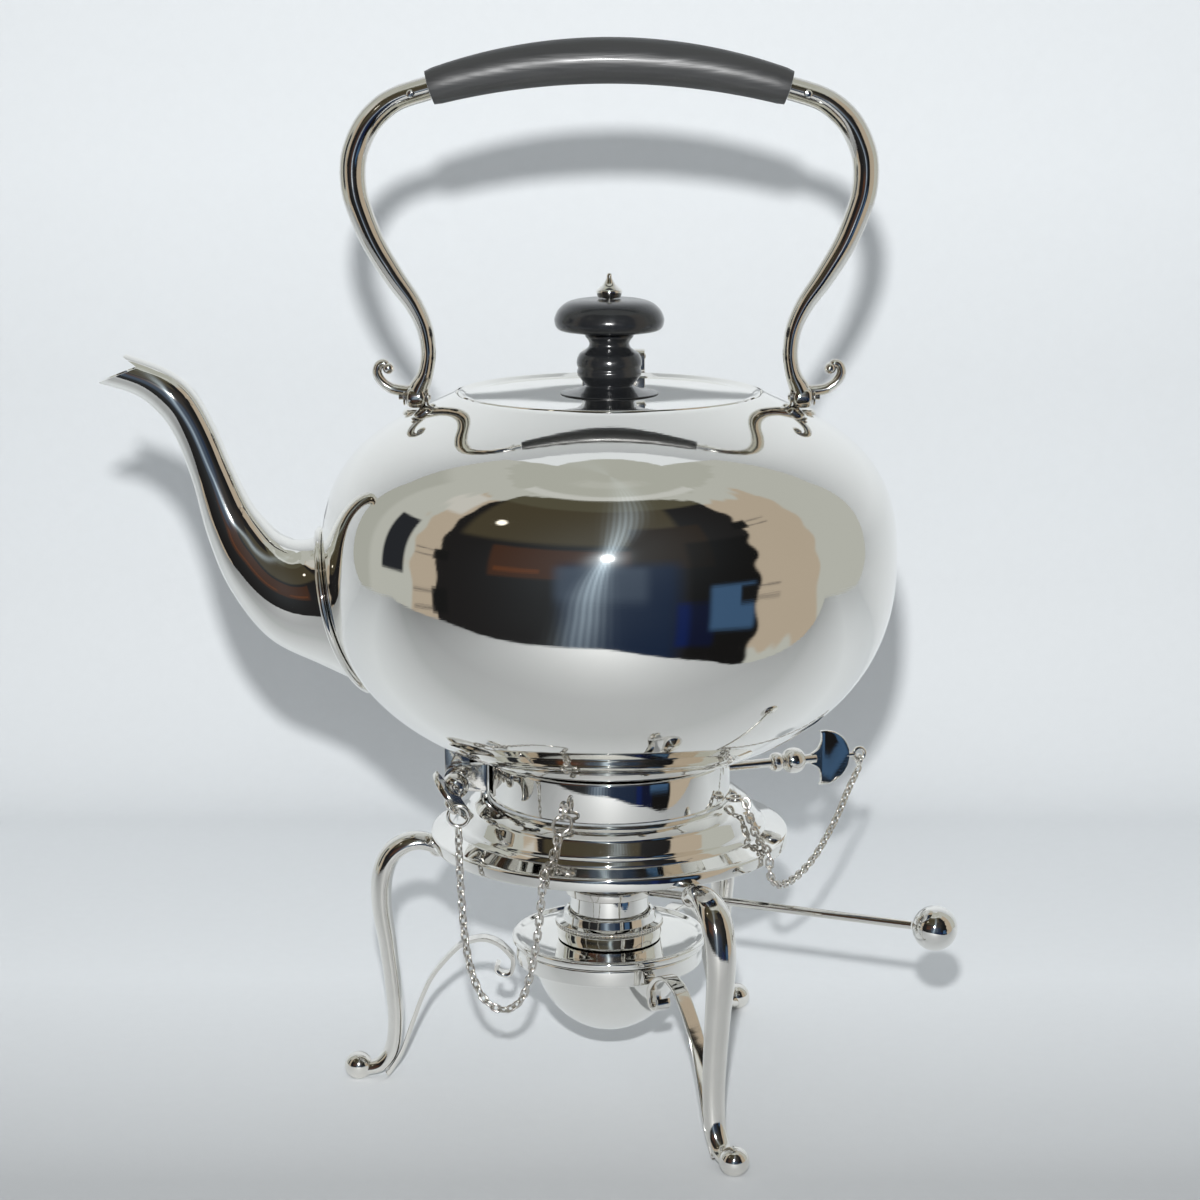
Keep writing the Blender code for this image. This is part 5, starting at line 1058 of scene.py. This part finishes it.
paper = paperMaterial()
edge = [(x, y, 0) for x, y in smoothCurve(studio["edge"], 4)]
bend = [(studio["floorMiddle"], 0), (studio["floorBack"], 0)] + [
    (studio["floorBack"] + studio["sweep"] * sin(a), studio["sweep"] * (1 - cos(a)))
    for a in (pi / 2 * i / 24 for i in range(1, 25))
] + [(studio["floorBack"] + studio["sweep"], studio["wallTop"])]
stageSheet("sweep", [edge] + [[(x, y, z) for x, _, _ in edge] for y, z in bend], paper)
frontFloor = stageSheet("frontFloor", [[(x, studio["floorFront"], 0) for x, _, _ in edge], edge], paper)
frontFloor.visible_glossy = False

# the painted room reflection: each patch is a colour, its left, right, low and high angles, its blur and its share

room = dict(
    radius=1.25, centre=0.17,
    ceiling=(((0.55, 0.56, 0.53), (-70, 70, 66, 70, 1.5), 1), ((0.49, 0.5, 0.46), (-60, 60, 78, 84, 3), 0.6)),
    dark=(
        ((0.06, 0.05, 0.03), (-62, 30, 26, 58, 5), 1), ((0.085, 0.078, 0.05), (-66, 66, 56, 68, 2), 1),
        ((0.05, 0.022, 0.012), (-46, 14, 2, 22, 2), 1), ((0.1, 0.034, 0.012), (-44, -26, 5, 7.5, 1), 1),
        ((0.024, 0.017, 0.012), (8, 40, 8, 40, 3), 1), ((0.01, 0.019, 0.045), (-18, 26, -34, 12, 10), 1),
        ((0.006, 0.014, 0.075), (25, 40, -24, -9, 3), 1), ((0.055, 0.075, 0.11), (-20, 14, -8, 10, 6), 0.7),
        ((0.006, 0.006, 0.006), (30, 62, -40, 26, 4), 0.7), ((0.045, 0.095, 0.18), (38, 56, -17, -3, 3), 1),
    ),
    clips=((-66, 9), (-66, -10), (58, 34), (54, -7)),
)


# painted reflection: the colour the silver sees in each direction, with painted glints near the lamps
def paintedRoomReflection(across, up):
    # across is the angle round from the front, up the angle above level, in degrees
    def soft(value, edge, width):
        t = min(max((edge - value) / width + 0.5, 0), 1)
        return t * t * (3 - 2 * t)

    def patch(left, right, low, high, blur=2):
        return soft(left, across, blur) * soft(across, right, blur) * soft(low, up, blur) * soft(up, high, blur)

    def painted(shade, patches):
        for tone, place, share in patches:
            shade = shade.lerp(Vector(tone), patch(*place) * share)
        return shade

    ripple = 1.6 * sin(across * 0.31 + 1) + 1.1 * sin(across * 0.83) + 1.3 * sin(up * 0.42 + across * 0.1)
    shade = Vector((0.47, 0.48, 0.44))  # pale walls at each side
    shade = shade.lerp(Vector((0.4, 0.41, 0.37)), soft(abs(across + 118), 14, 4) * soft(abs(up - 14), 36, 6))
    shade = shade.lerp(Vector((0.42, 0.43, 0.385)), soft(66, up + ripple * 0.4, 1.5))
    shade = painted(shade, room["ceiling"])
    boards = patch(-82 + ripple, -58, -30, 62) + patch(50, 84 + ripple, -30, 62)
    shade = shade.lerp(Vector((0.45, 0.38, 0.295)), soft(abs(up - 15), 40 + ripple, 3) * boards)
    shade = painted(shade, (
        ((0.56, 0.55, 0.51), (-84 + ripple, -70, 38, 54, 3), 1), ((0.02, 0.022, 0.026), (-96, -84, -4, 26, 1.2), 1),
    ))
    inside = soft(abs((across + 6 + ripple * 0.8) / 63) ** 5 + abs((up - 7) / 59) ** 6, 1, 0.12)
    shade = shade.lerp(painted(Vector((0.014, 0.013, 0.013)), room["dark"]), inside)
    for clipAcross, clipUp in room["clips"]:
        shade = shade.lerp(Vector((0.01, 0.01, 0.01)), patch(clipAcross - 4, clipAcross + 3, clipUp - 3, clipUp + 3, 1))
        bowAcross = clipAcross + copysign(8, clipAcross)
        bow = soft(abs(abs(up - clipUp) - 1.8), 0.35, 0.4) * soft(abs(across - bowAcross), 5, 1.5)
        shade = shade.lerp(Vector((0.1, 0.09, 0.08)), bow * 0.8)
    # painted glint of a small lamp up on the left
    shade += Vector((1.6, 1.5, 1.3)) * soft(hypot((across + 49) * 0.8, up - 39), 2, 1)
    # painted highlight round the key lamp's direction: a streak of glints as from fine scratches, a faint haze and a
    # halo
    rise = up - 16
    lean = across + 1 - 0.28 * rise
    away = hypot(lean, rise)
    spread = lean / (1.8 + 0.17 * abs(rise))
    paintedGlint = exp(-spread**2 - abs(rise) / 30) * 0.8 * (0.75 + 0.25 * sin(spread * 9 + across))
    paintedGlint += 0.045 * exp(-(away / 32) ** 2) + 0.5 * exp(-(away / 6) ** 2)
    return shade + Vector((0.72, 0.88, 1)) * paintedGlint


roomRows = []
reflectionPaint = []
for up in (-60 + 165 * j / 240 for j in range(241)):
    row = []
    for across in (-135 + 270 * i / 360 for i in range(361)):
        a, e = radians(across), radians(up)
        aim = Vector((sin(a) * cos(e), -cos(a) * cos(e), sin(e)))
        row.append(aim * room["radius"] + Vector((0, 0, room["centre"])))
        reflectionPaint.append(paintedRoomReflection(across, up))
    roomRows.append(row)
roomMaterial, roomTree, _ = blankMaterial("paintedReflectionGlow")
roomTint = addNode(roomTree, "Attribute", attribute_name="tint")
paintedReflectionGlow = addNode(roomTree, "Emission", {"Color": roomTint, "Strength": 1})
feedAll(roomTree, roomTree.nodes["Material Output"].inputs, {"Surface": paintedReflectionGlow})
# a sheet that glows only for glossy rays, so its colours are painted reflections
reflectionShell = stageSheet("room", roomRows, roomMaterial)
paint = reflectionShell.data.color_attributes.new("tint", "FLOAT_COLOR", "POINT")
for index, colour in enumerate(reflectionPaint):
    paint.data[index].color = (*colour, 1)
for hidden in ("camera", "diffuse", "shadow", "transmission"):
    setattr(reflectionShell, "visible_" + hidden, False)

world = bpy.data.worlds.new("studio")
scene.world = world
world.use_nodes = True
worldTree = world.node_tree
worldTree.nodes.clear()
rays = addNode(worldTree, "LightPath").outputs
ambient = addNode(worldTree, "Background", {"Color": studio["ambientTint"], "Strength": studio["ambient"]})
pale = addNode(worldTree, "Background", {"Color": studio["backdropTint"], "Strength": studio["backdrop"]})
seen = addNode(worldTree, "Math", {0: rays["Is Camera Ray"], 1: rays["Is Glossy Ray"]}, operation="MAXIMUM")
addNode(worldTree, "OutputWorld", {"Surface": addNode(worldTree, "MixShader", {0: seen, 1: ambient, 2: pale})})

keyData = bpy.data.lights.new("keyLamp", "AREA")
keyData.shape = "DISK"
keyData.size = studio["lampSize"]
keyData.energy = studio["lampPower"]
key = placed("keyLamp", keyData)
key.location = (standX + studio["lampAside"], -view["distance"], view["height"] + studio["lampRise"])
key.rotation_euler = (Vector((standX, 0, studio["lampAim"])) - key.location).to_track_quat("-Z", "Y").to_euler()
print("studio set")
